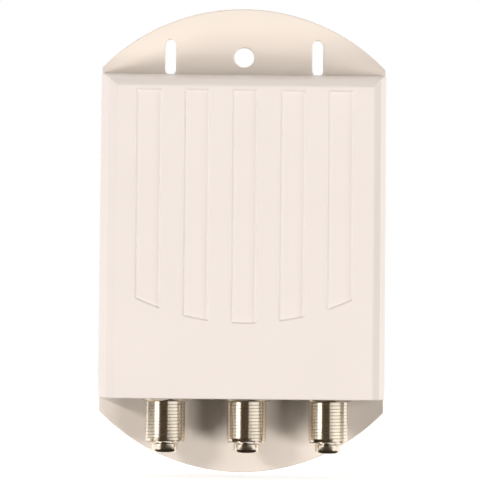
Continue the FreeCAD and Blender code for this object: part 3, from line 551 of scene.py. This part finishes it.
def plastic(name, colour, shade=0.93, grain=2600.0, roughness=0.45, relief=0.006 * MM):
    """A moulded plastic, resin or ceramic with little shine."""
    shader = grouped_finish(name, "moulded_skin", relief, {
        "Colour": opaque(colour),
        "Shade": opaque(colour, shade),
        "Grain": grain,
        "Roughness": roughness,
    })
    shader.inputs["Specular IOR Level"].default_value = LOW_SHINE


def metal(name, colour, tarnish, amount=0.3, scale=900.0, roughness=0.2, relief=0.002 * MM):
    """A plated, cast or drawn metal."""
    shader = grouped_finish(name, "rubbed_metal", relief, {
        "Colour": opaque(colour),
        "Tarnish": opaque(tarnish),
        "Amount": amount,
        "Scale": scale,
        "Roughness": roughness,
    })
    shader.inputs["Metallic"].default_value = 1.0


def board_finish(colour):
    """Lacquered board with copper tracks that show through the lacquer as lighter lines."""
    _, tree, shader = new_finish("board_laminate_finish")
    place = own_place(tree)
    upright = (math.radians(90), 0.0, 0.0)
    turned = add_node(tree, "Mapping", {"Rotation": upright, "Vector": place})
    tracks = add_node(tree, "TexBrick", {
        "Vector": turned.outputs["Vector"],
        "Scale": 1.0,
        "Brick Width": 6.1 * MM,
        "Row Height": 1.27 * MM,
        "Mortar Size": 0.2 * MM,
        "Mortar Smooth": 0.1,
    }, offset=0.37, offset_frequency=3, squash=0.45, squash_frequency=4)
    laid = calculate(tree, "GREATER_THAN", noise(tree, place, 330.0, detail=0.0), 0.52)
    mask = calculate(tree, "MULTIPLY", tracks.outputs["Fac"], laid)
    feed(tree, shader, {
        "Base Color": blend_colours(tree, mask, opaque(colour), opaque(colour, 2.4)),
        "Roughness": spread(tree, noise(tree, place, 900.0), 0.22, 0.42),
    })
    bump(tree, mask, shader, 0.03 * MM)


def make_finishes(context):
    """All the materials, by the record's slot names."""
    make_moulded_skin()
    make_rubbed_metal()
    look = sizes(context, "finishes")
    plastic("hood_plastic", look.hood, roughness=0.42)
    plastic("plate_plastic", look.plate, shade=0.95, roughness=0.48)
    plastic("jack_plastic", look.core, roughness=0.35, grain=4000.0)
    plastic("chip_resin", look.resin, shade=1.6, grain=7000.0, roughness=0.55, relief=0.01 * MM)
    plastic("capacitor_ceramic", look.ceramic, shade=0.75, grain=9000.0, roughness=0.5)
    plastic("resistor_body", look.resistor, shade=1.8, grain=9000.0, roughness=0.4)
    metal("plated_barrel", look.nickel, (0.50, 0.44, 0.35), amount=0.3, roughness=0.13)
    metal("plated_contact", look.bronze, (0.40, 0.28, 0.14), amount=0.4, roughness=0.25)
    metal(
        "cast_zinc", look.zinc, (0.33, 0.33, 0.34),
        amount=0.6, scale=1500.0, roughness=0.45, relief=0.02 * MM,
    )
    metal("tinplate", look.tinplate, (0.42, 0.41, 0.38), amount=0.4, scale=600.0, roughness=0.3)
    metal(
        "enamelled_winding", look.copper, (0.25, 0.07, 0.03),
        amount=0.5, scale=5200.0, roughness=0.3,
    )
    metal("can_aluminium", look.can, (0.5, 0.5, 0.52), amount=0.3, scale=2500.0, roughness=0.3)
    metal("screw_steel", look.steel, (0.36, 0.33, 0.28), amount=0.4, scale=2000.0, roughness=0.3)
    board_finish(look.laminate)


def finish(slot):
    """The material made here for a slot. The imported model's plain one has the bare name."""
    return bpy.data.materials[slot + "_finish"]


# Pieces

class AERIAL_OT_back_plate(bpy.types.Operator):
    """Make the wall plate with its rounded ends, holes, rails, claws, ribs and bosses"""

    bl_idname = "aerial.back_plate"
    bl_label = "Back plate"

    def execute(self, context):
        plate = sizes(context, "plate")
        half = PLATE_HIGH.x
        low = PLATE_LOW.z
        high = PLATE_HIGH.z
        radius = plate.end_radius
        opening = math.asin(half / radius)
        up = math.pi / 2
        upper = arc(0.0, high - radius, radius, up - opening, up + opening, END_STEPS)
        lower = arc(0.0, low + radius, radius, -up - opening, -up + opening, END_STEPS)
        last = HOLE_COLUMNS - 1
        holes = [arc(0.0, 0.0, plate.hole / 2, 0.0, 2 * math.pi * last / HOLE_COLUMNS, last)]
        slot_radius = plate.slot_wide / 2
        reach = plate.slot_long / 2 - slot_radius
        for side in SIDES:
            x = plate.slot_spread / 2 * side
            top = arc(x, reach, slot_radius, 0.0, math.pi, SLOT_STEPS)
            holes.append(top + arc(x, -reach, slot_radius, math.pi, 2 * math.pi, SLOT_STEPS))
        sheet = flat_sheet("back_plate_sheet", upper + lower, holes, plate.thick, plate.rounding)
        add_piece("back_plate_sheet", sheet, UNIT, "plate_plastic", ["back_plate"])
        self.add_guides(plate)
        return {"FINISHED"}

    def add_guides(self, plate):
        """The rails, their stops, the claws, the ribs and the bosses on the plate's front."""
        vertices = []
        faces = []
        seat = plate.thick - plate.rounding
        web = plate.rail_inner + plate.rail_web
        lip = web + plate.rail_lip
        lip_front = plate.lip_rear + plate.lip_thick
        case_rear = -CASE_HIGH.y
        for side in SIDES:
            rail = [
                (plate.rail_inner, seat), (web, seat), (web, plate.lip_rear),
                (lip, plate.lip_rear), (lip, lip_front), (plate.rail_inner, lip_front),
            ]
            rail = [(x * side, d) for x, d in rail]
            extruded(vertices, faces, rail, plate.rail_low, plate.rail_high)
            stop_front = plate.lip_rear + plate.lip_thick / 2
            stop = box_profile(web - plate.rail_web / 2, lip, seat, stop_front)
            stop = [(x * side, d) for x, d in stop]
            extruded(vertices, faces, stop, plate.rail_low, plate.rail_low + plate.rail_stop)
            extruded(vertices, faces, stop, plate.rail_high - plate.rail_stop, plate.rail_high)
            foot = CASE_HIGH.x if side > 0 else CASE_LOW.x
            inner = foot + TAB_GAP * side
            tip = inner - plate.claw_reach * side
            claw_rear = case_rear + TAB_THICK + TAB_GAP
            claw_front = claw_rear + plate.claw_thick
            root = (plate.rail_inner + plate.rail_web / 2) * side
            claw = [
                (root, seat), (root, claw_front), (tip, claw_front),
                (tip, claw_rear), (inner, claw_rear), (inner, seat),
            ]
            extruded(vertices, faces, claw, CLAW_LOW, CLAW_LOW + CLAW_TALL)
            outer = foot - TAB_REACH * side
            rib = box_profile(outer - RIB_THICK * side, outer, seat, case_rear)
            extruded(vertices, faces, rib, RIB_LOW, RIB_HIGH)
        self.add_bosses(plate, vertices, faces, seat, case_rear)
        mesh = smooth_mesh("plate_guides", vertices, faces)
        guides = add_piece("plate_guides", mesh, UNIT, "plate_plastic")
        round_edges(guides, EDGE)

    def add_bosses(self, plate, vertices, faces, seat, top):
        """Two bored bosses under the screws of the module's ears."""
        low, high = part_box("module_screws")
        head = (high.z - low.z) / 2
        rows = [
            plain_row(plate.boss_bore / 2, seat), plain_row(plate.boss_bore / 2, top),
            plain_row(plate.boss / 2, top), plain_row(plate.boss / 2, seat),
        ]
        for x in (low.x + head, high.x - head):
            turned, more_faces = lathe(rows, HOLE_COLUMNS)
            base = len(vertices)
            vertices += [(vx + x, -depth, vz + low.z + head) for vx, vz, depth in turned]
            faces += [[base + i for i in face] for face in more_faces]


def face_size(hood):
    """Half the width of the hood's flat front, and the height of its top."""
    return HOOD_HIGH.x - hood.side_lean - hood.bevel, HOOD_HIGH.z - hood.top_lean - hood.bevel


def hood_front(hood):
    """The fluted front as columns from left to right, each with its points from low to high."""
    half, top = face_size(hood)
    low = HOOD_LOW.z
    columns = [(-half, 0.0)]
    for index in range(hood.flutes):
        centre = hood.flute_pitch * (index - (hood.flutes - 1) / 2)
        left = centre - hood.flute_wide / 2
        inner = hood.flute_wide - 2 * hood.flute_flank
        columns.append((left, 0.0))
        for step in range(FLUTE_STEPS + 1):
            columns.append((left + hood.flute_flank + inner * step / FLUTE_STEPS, 1.0))
        columns.append((left + hood.flute_wide, 0.0))
    columns.append((half, 0.0))
    flute_top = top - hood.flute_margin
    sweep_centre = low + hood.flute_rise + hood.flute_sweep
    grid = []
    for x, across in columns:
        flute_low = sweep_centre - math.sqrt(hood.flute_sweep ** 2 - x ** 2)
        rows = [
            (low, 0.0), (flute_low, 0.0), (flute_low + hood.flute_flank, 1.0),
            (flute_top - hood.flute_flank, 1.0), (flute_top, 0.0), (top, 0.0),
        ]
        grid.append([
            (x, HOOD_LOW.y + hood.flute_deep * min(across, along), z) for z, along in rows
        ])
    return grid


class AERIAL_OT_sliding_hood(bpy.types.Operator):
    """Make the weather hood: leaning walls, bevelled front with flutes, and guide hooks"""

    bl_idname = "aerial.sliding_hood"
    bl_label = "Sliding hood"

    def execute(self, context):
        hood = sizes(context, "hood")
        vertices, faces = self.shell(hood)
        mesh = smooth_mesh("weather_hood", vertices, faces, sharp=None)
        self.weigh_edges(mesh, hood)
        piece = add_piece("weather_hood", mesh, HOOD, "hood_plastic", ["sliding_hood"])
        round_edges(piece, hood.rounding, segments=3, method="WEIGHT")
        self.add_hooks(hood)
        return {"FINISHED"}

    def shell(self, hood):
        """Outer skin, inner skin and rims, closed."""
        _, front, low = HOOD_LOW
        half, rear, high = HOOD_HIGH
        grid = hood_front(hood)
        face_half, face_top = face_size(hood)
        vertices = []
        numbers = {}

        def vertex(point):
            """The number of the vertex at a point, which is added if it is new."""
            key = tuple(round(c, 8) for c in point)
            if key not in numbers:
                numbers[key] = len(vertices)
                vertices.append(key)
            return numbers[key]

        faces = []
        for left, right in zip(grid, grid[1:]):
            for i in range(len(left) - 1):
                faces.append([vertex(p) for p in (left[i], right[i], right[i + 1], left[i + 1])])

        def strip(first, second):
            """Add the faces between two rows of points."""
            for i in range(len(first) - 1):
                corners = (first[i], first[i + 1], second[i + 1], second[i])
                faces.append([vertex(p) for p in corners])

        # The rim of the front, from the lower left up, over and down to the lower right.
        rim = grid[0] + [column[-1] for column in grid[1:-1]] + grid[-1][::-1]

        def section(depth_y, section_half, section_top):
            """The rim stretched to the width and the top that the hood has at a depth."""
            stretch = (section_top - low) / (face_top - low)
            widen = section_half / face_half
            return [(x * widen, depth_y, low + (z - low) * stretch) for x, y, z in rim]

        shoulder_half = half - hood.side_lean
        shoulder_top = high - hood.top_lean
        shoulder_y = front + hood.bevel
        sections = [
            section(rear, half, high),
            section(shoulder_y, shoulder_half, shoulder_top),
            [(x, front, z) for x, y, z in rim],
        ]
        for behind, before in zip(sections, sections[1:]):
            strip(behind, before)

        wall = hood.wall
        inner = [
            [(-x, y, low), (-x, y, z), (x, y, z), (x, y, low)]
            for x, y, z in (
                (half - wall, rear, high - wall),
                (shoulder_half - wall, front + wall, shoulder_top - wall),
            )
        ]
        strip(*inner)
        faces.append([vertex(p) for p in inner[1]])
        faces.append([vertex(p) for p in sections[0] + inner[0][::-1]])
        bottom = [sections[0][0], sections[1][0]] + [column[0] for column in grid]
        bottom += [sections[1][-1], sections[0][-1]]
        bottom += [inner[0][3], inner[1][3], inner[1][0], inner[0][0]]
        faces.append([vertex(p) for p in bottom])
        return vertices, faces

    def weigh_edges(self, mesh, hood):
        """Say how much each edge is rounded: the flutes less than the hood's own edges."""
        work = bmesh.new()
        work.from_mesh(mesh)
        layer = work.edges.layers.float.new("bevel_weight_edge")
        face_y = HOOD_LOW.y + hood.flute_deep + HAIR
        half, top = face_size(hood)
        low = HOOD_LOW.z
        for edge in work.edges:
            if len(edge.link_faces) != 2 or edge.calc_face_angle() < HOOD_ROUNDED:
                continue
            on_front = all(
                v.co.y < face_y and abs(v.co.x) < half - HAIR and low + HAIR < v.co.z < top - HAIR
                for v in edge.verts
            )
            edge[layer] = FLUTE_SHARE if on_front else 1.0
        work.to_mesh(mesh)
        work.free()

    def add_hooks(self, hood):
        """The two hooks that run behind the rails' lips."""
        vertices = []
        faces = []
        rear = -HOOD_HIGH.y
        outer = HOOD_HIGH.x - hood.wall / 2
        for side in SIDES:
            across = hood.hook_inner * side, outer * side
            profile = box_profile(*across, rear, rear + hood.hook_thick)
            extruded(vertices, faces, profile, hood.hook_high - hood.hook_long, hood.hook_high)
        mesh = smooth_mesh("hood_hooks", vertices, faces)
        hooks = add_piece("hood_hooks", mesh, HOOD, "hood_plastic")
        round_edges(hooks, EDGE)


def thread_rows(jack, high, low, columns):
    """Rows of a right-handed vee thread between two heights, as functions of the column."""
    crest = jack.thread / 2
    root = crest - jack.groove
    rows = []
    for turn in range(math.ceil((high - low) / jack.pitch) + 2):
        for offset, sunk in THREAD_PROFILE:
            def row(i, drop=(turn + offset) * jack.pitch, radius=crest - jack.groove * sunk):
                height = high + jack.pitch * i / columns - drop
                if height >= high or height <= low:
                    return root, min(max(height, low), high)
                chamfer = crest - jack.lead_in + (height - low)
                return min(radius, chamfer), height
            rows.append(row)
    return rows


def barrel_places(jack):
    """Heights of the ends of spigot, flange, thread and nose, from the face of the case."""
    flange_low = -jack.flange_thick
    thread_low = flange_low - jack.thread_long
    return jack.case_wall + jack.spigot_proud, flange_low, thread_low, thread_low - jack.nose_long


def jack_barrel(jack):
    """The barrel and its flange, round its own axis, with the face of the case at height 0."""
    columns = jack.columns
    nose = jack.nose / 2
    bore = jack.bore / 2
    spigot = jack.spigot / 2
    root = jack.thread / 2 - jack.groove
    high, flange_low, thread_low, tip = barrel_places(jack)
    rows = thread_rows(jack, flange_low, thread_low, columns)
    before = [
        plain_row(bore, thread_low), plain_row(bore, high - SPIGOT_EDGE),
        plain_row(bore + SPIGOT_EDGE, high), plain_row(spigot - SPIGOT_EDGE, high),
        plain_row(spigot, high - SPIGOT_EDGE), plain_row(spigot, flange_low / 2),
        plain_row(root, flange_low / 2),
    ]
    shape = [(nose - inward * MM, thread_low - down * MM) for inward, down in NOSE_NECK]
    swell = nose - jack.nose_round
    shape += arc(swell, tip + jack.nose_round, jack.nose_round, 0.0, -math.pi / 2, NOSE_STEPS)
    shape += [(bore + outward * MM, tip + up * MM) for outward, up in NOSE_MOUTH]
    all_rows = before + rows + [plain_row(*point) for point in shape]
    vertices, faces = lathe(all_rows, columns)

    # Where the last column meets the first, the thread has climbed one pitch.
    per_turn = len(THREAD_PROFILE)
    first = len(before)
    last = first + len(rows) - 1

    def seam(row):
        """The first vertex of the row in which a row goes on, past the last column."""
        if first <= row <= last:
            row = max(row - per_turn, first)
        return row * columns

    for k in range(len(all_rows)):
        face = faces[k * columns + columns - 1]
        face[1] = seam(k)
        face[2] = seam((k + 1) % len(all_rows))
    for row in rows[-per_turn:]:
        if row(0)[1] > thread_low:
            raise RuntimeError("the thread's last turn is not below its end")

    # The flange's corners are chamfered as on a nut.
    flat = jack.flange / 2
    inside = flat - FLANGE_FLAT

    def corner(i, height, sign):
        """The six-sided outline, with its chamfer towards the corners."""
        turn = (2 * math.pi * i / columns + jack.flange_turn) % (math.pi / 3) - math.pi / 6
        radius = flat / math.cos(turn)
        return radius, height + sign * (radius - inside) * math.tan(jack.flange_chamfer)

    flange = [
        plain_row(root - OVERLAP, 0.0), plain_row(inside, 0.0),
        lambda i: corner(i, 0.0, -1), lambda i: corner(i, flange_low, 1),
        plain_row(inside, flange_low), plain_row(root - OVERLAP, flange_low),
    ]
    turned, more_faces = lathe(flange, columns)
    base = len(vertices)
    vertices += [(y, x, z) for x, y, z in turned]
    faces += [[base + i for i in face] for face in more_faces]
    return vertices, faces


def jack_sleeve(jack):
    """The plastic core, a sleeve with a rounded mouth."""
    outer = jack.bore / 2 - SLEEVE_PLAY
    seat = jack.contact / 2
    high, _, _, tip = barrel_places(jack)
    face = tip + jack.sunk
    rows = [
        (seat, high), (seat, face + EDGE), (seat + EDGE, face),
        (outer - EDGE, face), (outer, face + EDGE), (outer, high),
    ]
    return lathe([plain_row(*point) for point in rows], SLEEVE_COLUMNS)


def jack_contact(jack):
    """A spring tube with a rolled mouth, and its flat tail."""
    outer = jack.contact / 2 - HAIR
    bore = jack.contact_bore / 2
    high, _, _, tip = barrel_places(jack)
    low = tip + jack.sunk + jack.contact_sunk
    flare, rim, throat = CONTACT_MOUTH
    rows = [
        (0.0, low + CONTACT_DEEP), (bore, low + CONTACT_DEEP), (bore, low + throat),
        (bore + flare, low + rim), (outer - EDGE, low), (outer, low + EDGE),
        (outer, high), (0.0, high),
    ]
    vertices, faces = lathe([plain_row(*point) for point in rows], CONTACT_COLUMNS)
    tail = box_profile(-TAIL_WIDE / 2, TAIL_WIDE / 2, -TAIL_THICK / 2, TAIL_THICK / 2)
    extruded(vertices, faces, tail, high - TAIL_ROOT, jack.case_wall + TAIL_REACH)
    return vertices, faces


class AERIAL_OT_jacks(bpy.types.Operator):
    """Make the three jacks: threaded barrels, plastic cores and spring contacts"""

    bl_idname = "aerial.jacks"
    bl_label = "Jacks"

    def execute(self, context):
        jack = sizes(context, "jack")
        for name in JACKS:
            low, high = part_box(name + "_jack_barrel")
            axis = ((low.x + high.x) / 2, (low.y + high.y) / 2, CASE_LOW.z)
            for part, make, slot in (
                ("barrel", jack_barrel, "plated_barrel"),
                ("insulator", jack_sleeve, "jack_plastic"),
                ("contact", jack_contact, "plated_contact"),
            ):
                node = f"{name}_jack_{part}"
                vertices, faces = make(jack)
                mesh = smooth_mesh(node + "_turned", moved(vertices, *axis), faces)
                add_piece(node + "_turned", mesh, UNIT, slot, [node])
        return {"FINISHED"}


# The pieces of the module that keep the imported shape: node, slot, rounding in mm and its segments.
DRESSED = (
    ("module_case", "cast_zinc", 0.18, 2),
    ("module_lid", "tinplate", 0.08, 2),
    ("circuit_board", "board_laminate", 0.05, 1),
    ("control_chip", "chip_resin", 0.04, 1),
    ("voltage_regulator", "chip_resin", 0.04, 1),
    ("choke_coils", "enamelled_winding", 0.08, 2),
    ("pin_diodes", "chip_resin", 0.04, 1),
    ("ceramic_capacitors", "capacitor_ceramic", 0.05, 1),
    ("resistors", "resistor_body", 0.04, 1),
    ("electrolytic_capacitor", "can_aluminium", 0.1, 2),
    ("module_screws", "screw_steel", 0.08, 2),
    ("board_screws", "screw_steel", 0.06, 2),
)


class AERIAL_OT_module(bpy.types.Operator):
    """Finish the switch module: case, lid, board, its parts and the screws"""

    bl_idname = "aerial.module"
    bl_label = "Switch module"

    def execute(self, context):
        for node, slot, rounding, segments in DRESSED:
            dress_node(node, slot, rounding * MM, segments)
        return {"FINISHED"}


def seen_directly(tree):
    """One for what is seen directly, in metal or through glass, zero for scattered light."""
    path = tree.nodes.new("ShaderNodeLightPath")
    seen = calculate(tree, "MAXIMUM", path.outputs["Is Camera Ray"], path.outputs["Is Glossy Ray"])
    return calculate(tree, "MAXIMUM", seen, path.outputs["Is Transmission Ray"])


def floor_paper(colour):
    """Pale paper that keeps the part's shadow and otherwise shows as white."""
    material, tree, shader = new_finish("floor_paper")
    feed(tree, shader, {
        "Base Color": opaque(colour),
        "Roughness": 0.8,
        "Specular IOR Level": LOW_SHINE,
        "Emission Color": WHITE,
        "Emission Strength": calculate(tree, "MULTIPLY", seen_directly(tree), PAPER_GLOW),
    })
    return material


def dark_felt(colour):
    """Felt without any shine."""
    material, tree, shader = new_finish("dark_felt")
    feed(tree, shader, {"Base Color": opaque(colour), "Roughness": 1.0, "Specular IOR Level": 0.0})
    return material


def studio_room(room, wall, skirting):
    """A white room with soft warm light, stronger from the backdrop than from the front."""
    world = bpy.data.worlds.new("studio_room")
    world.use_nodes = True
    tree = world.node_tree
    ray = tree.nodes.new("ShaderNodeTexCoord").outputs["Generated"]
    toward = add_node(tree, "SeparateXYZ", {0: ray}).outputs

    def soft_step(direction, low, high):
        """A value that rises softly across the horizon, or across the wall's plane."""
        step = add_node(tree, "MapRange", {
            "Value": toward[direction],
            "From Min": HORIZON[0],
            "From Max": HORIZON[1],
            "To Min": low,
            "To Max": high,
        }, interpolation_type="SMOOTHSTEP")
        return step.outputs["Result"]

    behind = calculate(tree, "MULTIPLY", soft_step("Y", 0.0, 1.0), soft_step("Z", skirting, wall))
    light = tree.nodes["Background"]
    feed(tree, light, {"Color": WARM, "Strength": calculate(tree, "ADD", behind, room)})
    white = add_node(tree, "Background", {"Color": WHITE})
    inputs = {0: seen_directly(tree), 1: light.outputs[0], 2: white.outputs[0]}
    choice = add_node(tree, "MixShader", inputs)
    feed(tree, tree.nodes["World Output"], {"Surface": choice.outputs[0]})
    return world


class AERIAL_OT_stage(bpy.types.Operator):
    """Make the pale floor, the white room, the softboxes and the camera"""

    bl_idname = "aerial.stage"
    bl_label = "Stage"

    def execute(self, context):
        scene = context.scene
        stage = sizes(context, "stage")
        look = sizes(context, "finishes")
        self.add_floor(scene, look.paper)
        self.add_flag(scene, look.felt)
        for softbox in SOFTBOXES:
            self.add_softbox(scene, *softbox).visible_glossy = False
        self.add_softbox(scene, *LEFT_CARD).visible_diffuse = False
        scene.world = studio_room(stage.room, stage.wall, stage.skirting)
        scene.view_settings.view_transform = "Standard"
        self.add_camera(scene, stage)
        return {"FINISHED"}

    def add_sheets(self, scene, name, points, material, hidden):
        """Sheets of four points each, hidden from some kinds of rays."""
        mesh = bpy.data.meshes.new(name)
        mesh.from_pydata(points, [], [list(range(i, i + 4)) for i in range(0, len(points), 4)])
        mesh.materials.append(material)
        sheets = bpy.data.objects.new(name, mesh)
        for rays in hidden:
            setattr(sheets, "visible_" + rays, False)
        scene.collection.objects.link(sheets)
        return sheets

    def add_floor(self, scene, colour):
        """The floor, just below the plate, which lamps from below its level shine through."""
        points = [(x, y, PLATE_LOW.z - FLOOR_GAP) for x, y in FLOOR_CORNERS]
        floor = self.add_sheets(scene, "floor", points, floor_paper(colour), ("shadow", "diffuse"))

    def add_flag(self, scene, colour):
        """Dark cards before, beside and below the jacks, which only polished metal shows."""
        low = PLATE_LOW.z + FLAG_LIFT
        high = low + CARD_TALL
        points = [(x, y, low) for card in LYING_CARDS for x, y in card]
        for (x0, y0), (x1, y1) in STANDING_CARDS:
            points += [(x0, y0, low), (x1, y1, low), (x1, y1, high), (x0, y0, high)]
        hidden = ("camera", "diffuse", "transmission", "shadow")
        flag = self.add_sheets(scene, "dark_flag", points, dark_felt(colour), hidden)

    def add_softbox(self, scene, name, side, rise, size, away, watts):
        """A rectangular softbox that faces the jacks from so many degrees to the side and up."""
        lamp = bpy.data.lights.new(name, "AREA")
        lamp.shape = "RECTANGLE"
        lamp.size, lamp.size_y = size
        lamp.energy = watts
        lamp.color = LAMP_TINT
        lamp.cycles.use_multiple_importance_sampling = rise > 0.0
        holder = bpy.data.objects.new(name, lamp)
        side = math.radians(side)
        rise = math.radians(rise)
        across = math.cos(rise)
        toward = Vector((math.sin(side) * across, -math.cos(side) * across, math.sin(rise)))
        holder.location = Vector((0.0, 0.0, HOOD_LOW.z)) + toward * away
        holder.rotation_mode = "QUATERNION"
        holder.rotation_quaternion = (-toward).to_track_quat("-Z", "Y")
        scene.collection.objects.link(holder)
        return holder

    def add_camera(self, scene, stage):
        """The camera that took the picture."""
        camera = bpy.data.cameras.new("camera")
        camera.lens = stage.lens
        camera.sensor_width = SENSOR
        camera.clip_start, camera.clip_end = CAMERA_RANGE
        holder = bpy.data.objects.new("camera", camera)
        place = Matrix.Translation((stage.camera_x, stage.camera_y, stage.camera_z))
        aim = Euler((math.pi / 2 + stage.tilt, 0.0, -stage.pan)).to_matrix()
        aim = aim @ Matrix.Rotation(stage.roll, 3, "Z")
        holder.matrix_world = place @ aim.to_4x4()
        scene.collection.objects.link(holder)
        scene.camera = holder


class AERIAL_PT_panel(bpy.types.Panel):
    """Sidebar panel that lists the pieces of the switch."""

    bl_label = "Aerial switch"
    bl_idname = "AERIAL_PT_panel"
    bl_space_type = "VIEW_3D"
    bl_region_type = "UI"
    bl_category = "Aerial switch"

    def draw(self, context):
        for operator in OPERATORS:
            self.layout.operator(operator.bl_idname, text=operator.bl_label)
        for group in GROUPS:
            settings = sizes(context, group)
            box = self.layout.box()
            for name in settings.__annotations__:
                box.prop(settings, name)


GROUPS = {
    "plate": PlateSizes,
    "hood": HoodSizes,
    "jack": JackSizes,
    "finishes": Finishes,
    "stage": StageSettings,
}
OPERATORS = (
    AERIAL_OT_back_plate,
    AERIAL_OT_sliding_hood,
    AERIAL_OT_jacks,
    AERIAL_OT_module,
    AERIAL_OT_stage,
)
CLASSES = (*GROUPS.values(), *OPERATORS, AERIAL_PT_panel)


def register():
    """Make the settings, the operators and the panel known."""
    for known in CLASSES:
        bpy.utils.register_class(known)
    for name, group in GROUPS.items():
        setattr(bpy.types.Scene, "aerial_switch_" + name, PointerProperty(type=group))


def unregister():
    """Undo register."""
    for name in GROUPS:
        delattr(bpy.types.Scene, "aerial_switch_" + name)
    for known in reversed(CLASSES):
        bpy.utils.unregister_class(known)


def main():
    """Make every piece and the stage."""
    register()
    make_finishes(bpy.context)
    bpy.ops.aerial.back_plate()
    bpy.ops.aerial.sliding_hood()
    bpy.ops.aerial.jacks()
    bpy.ops.aerial.module()
    bpy.ops.aerial.stage()


if __name__ == "__main__":
    main()
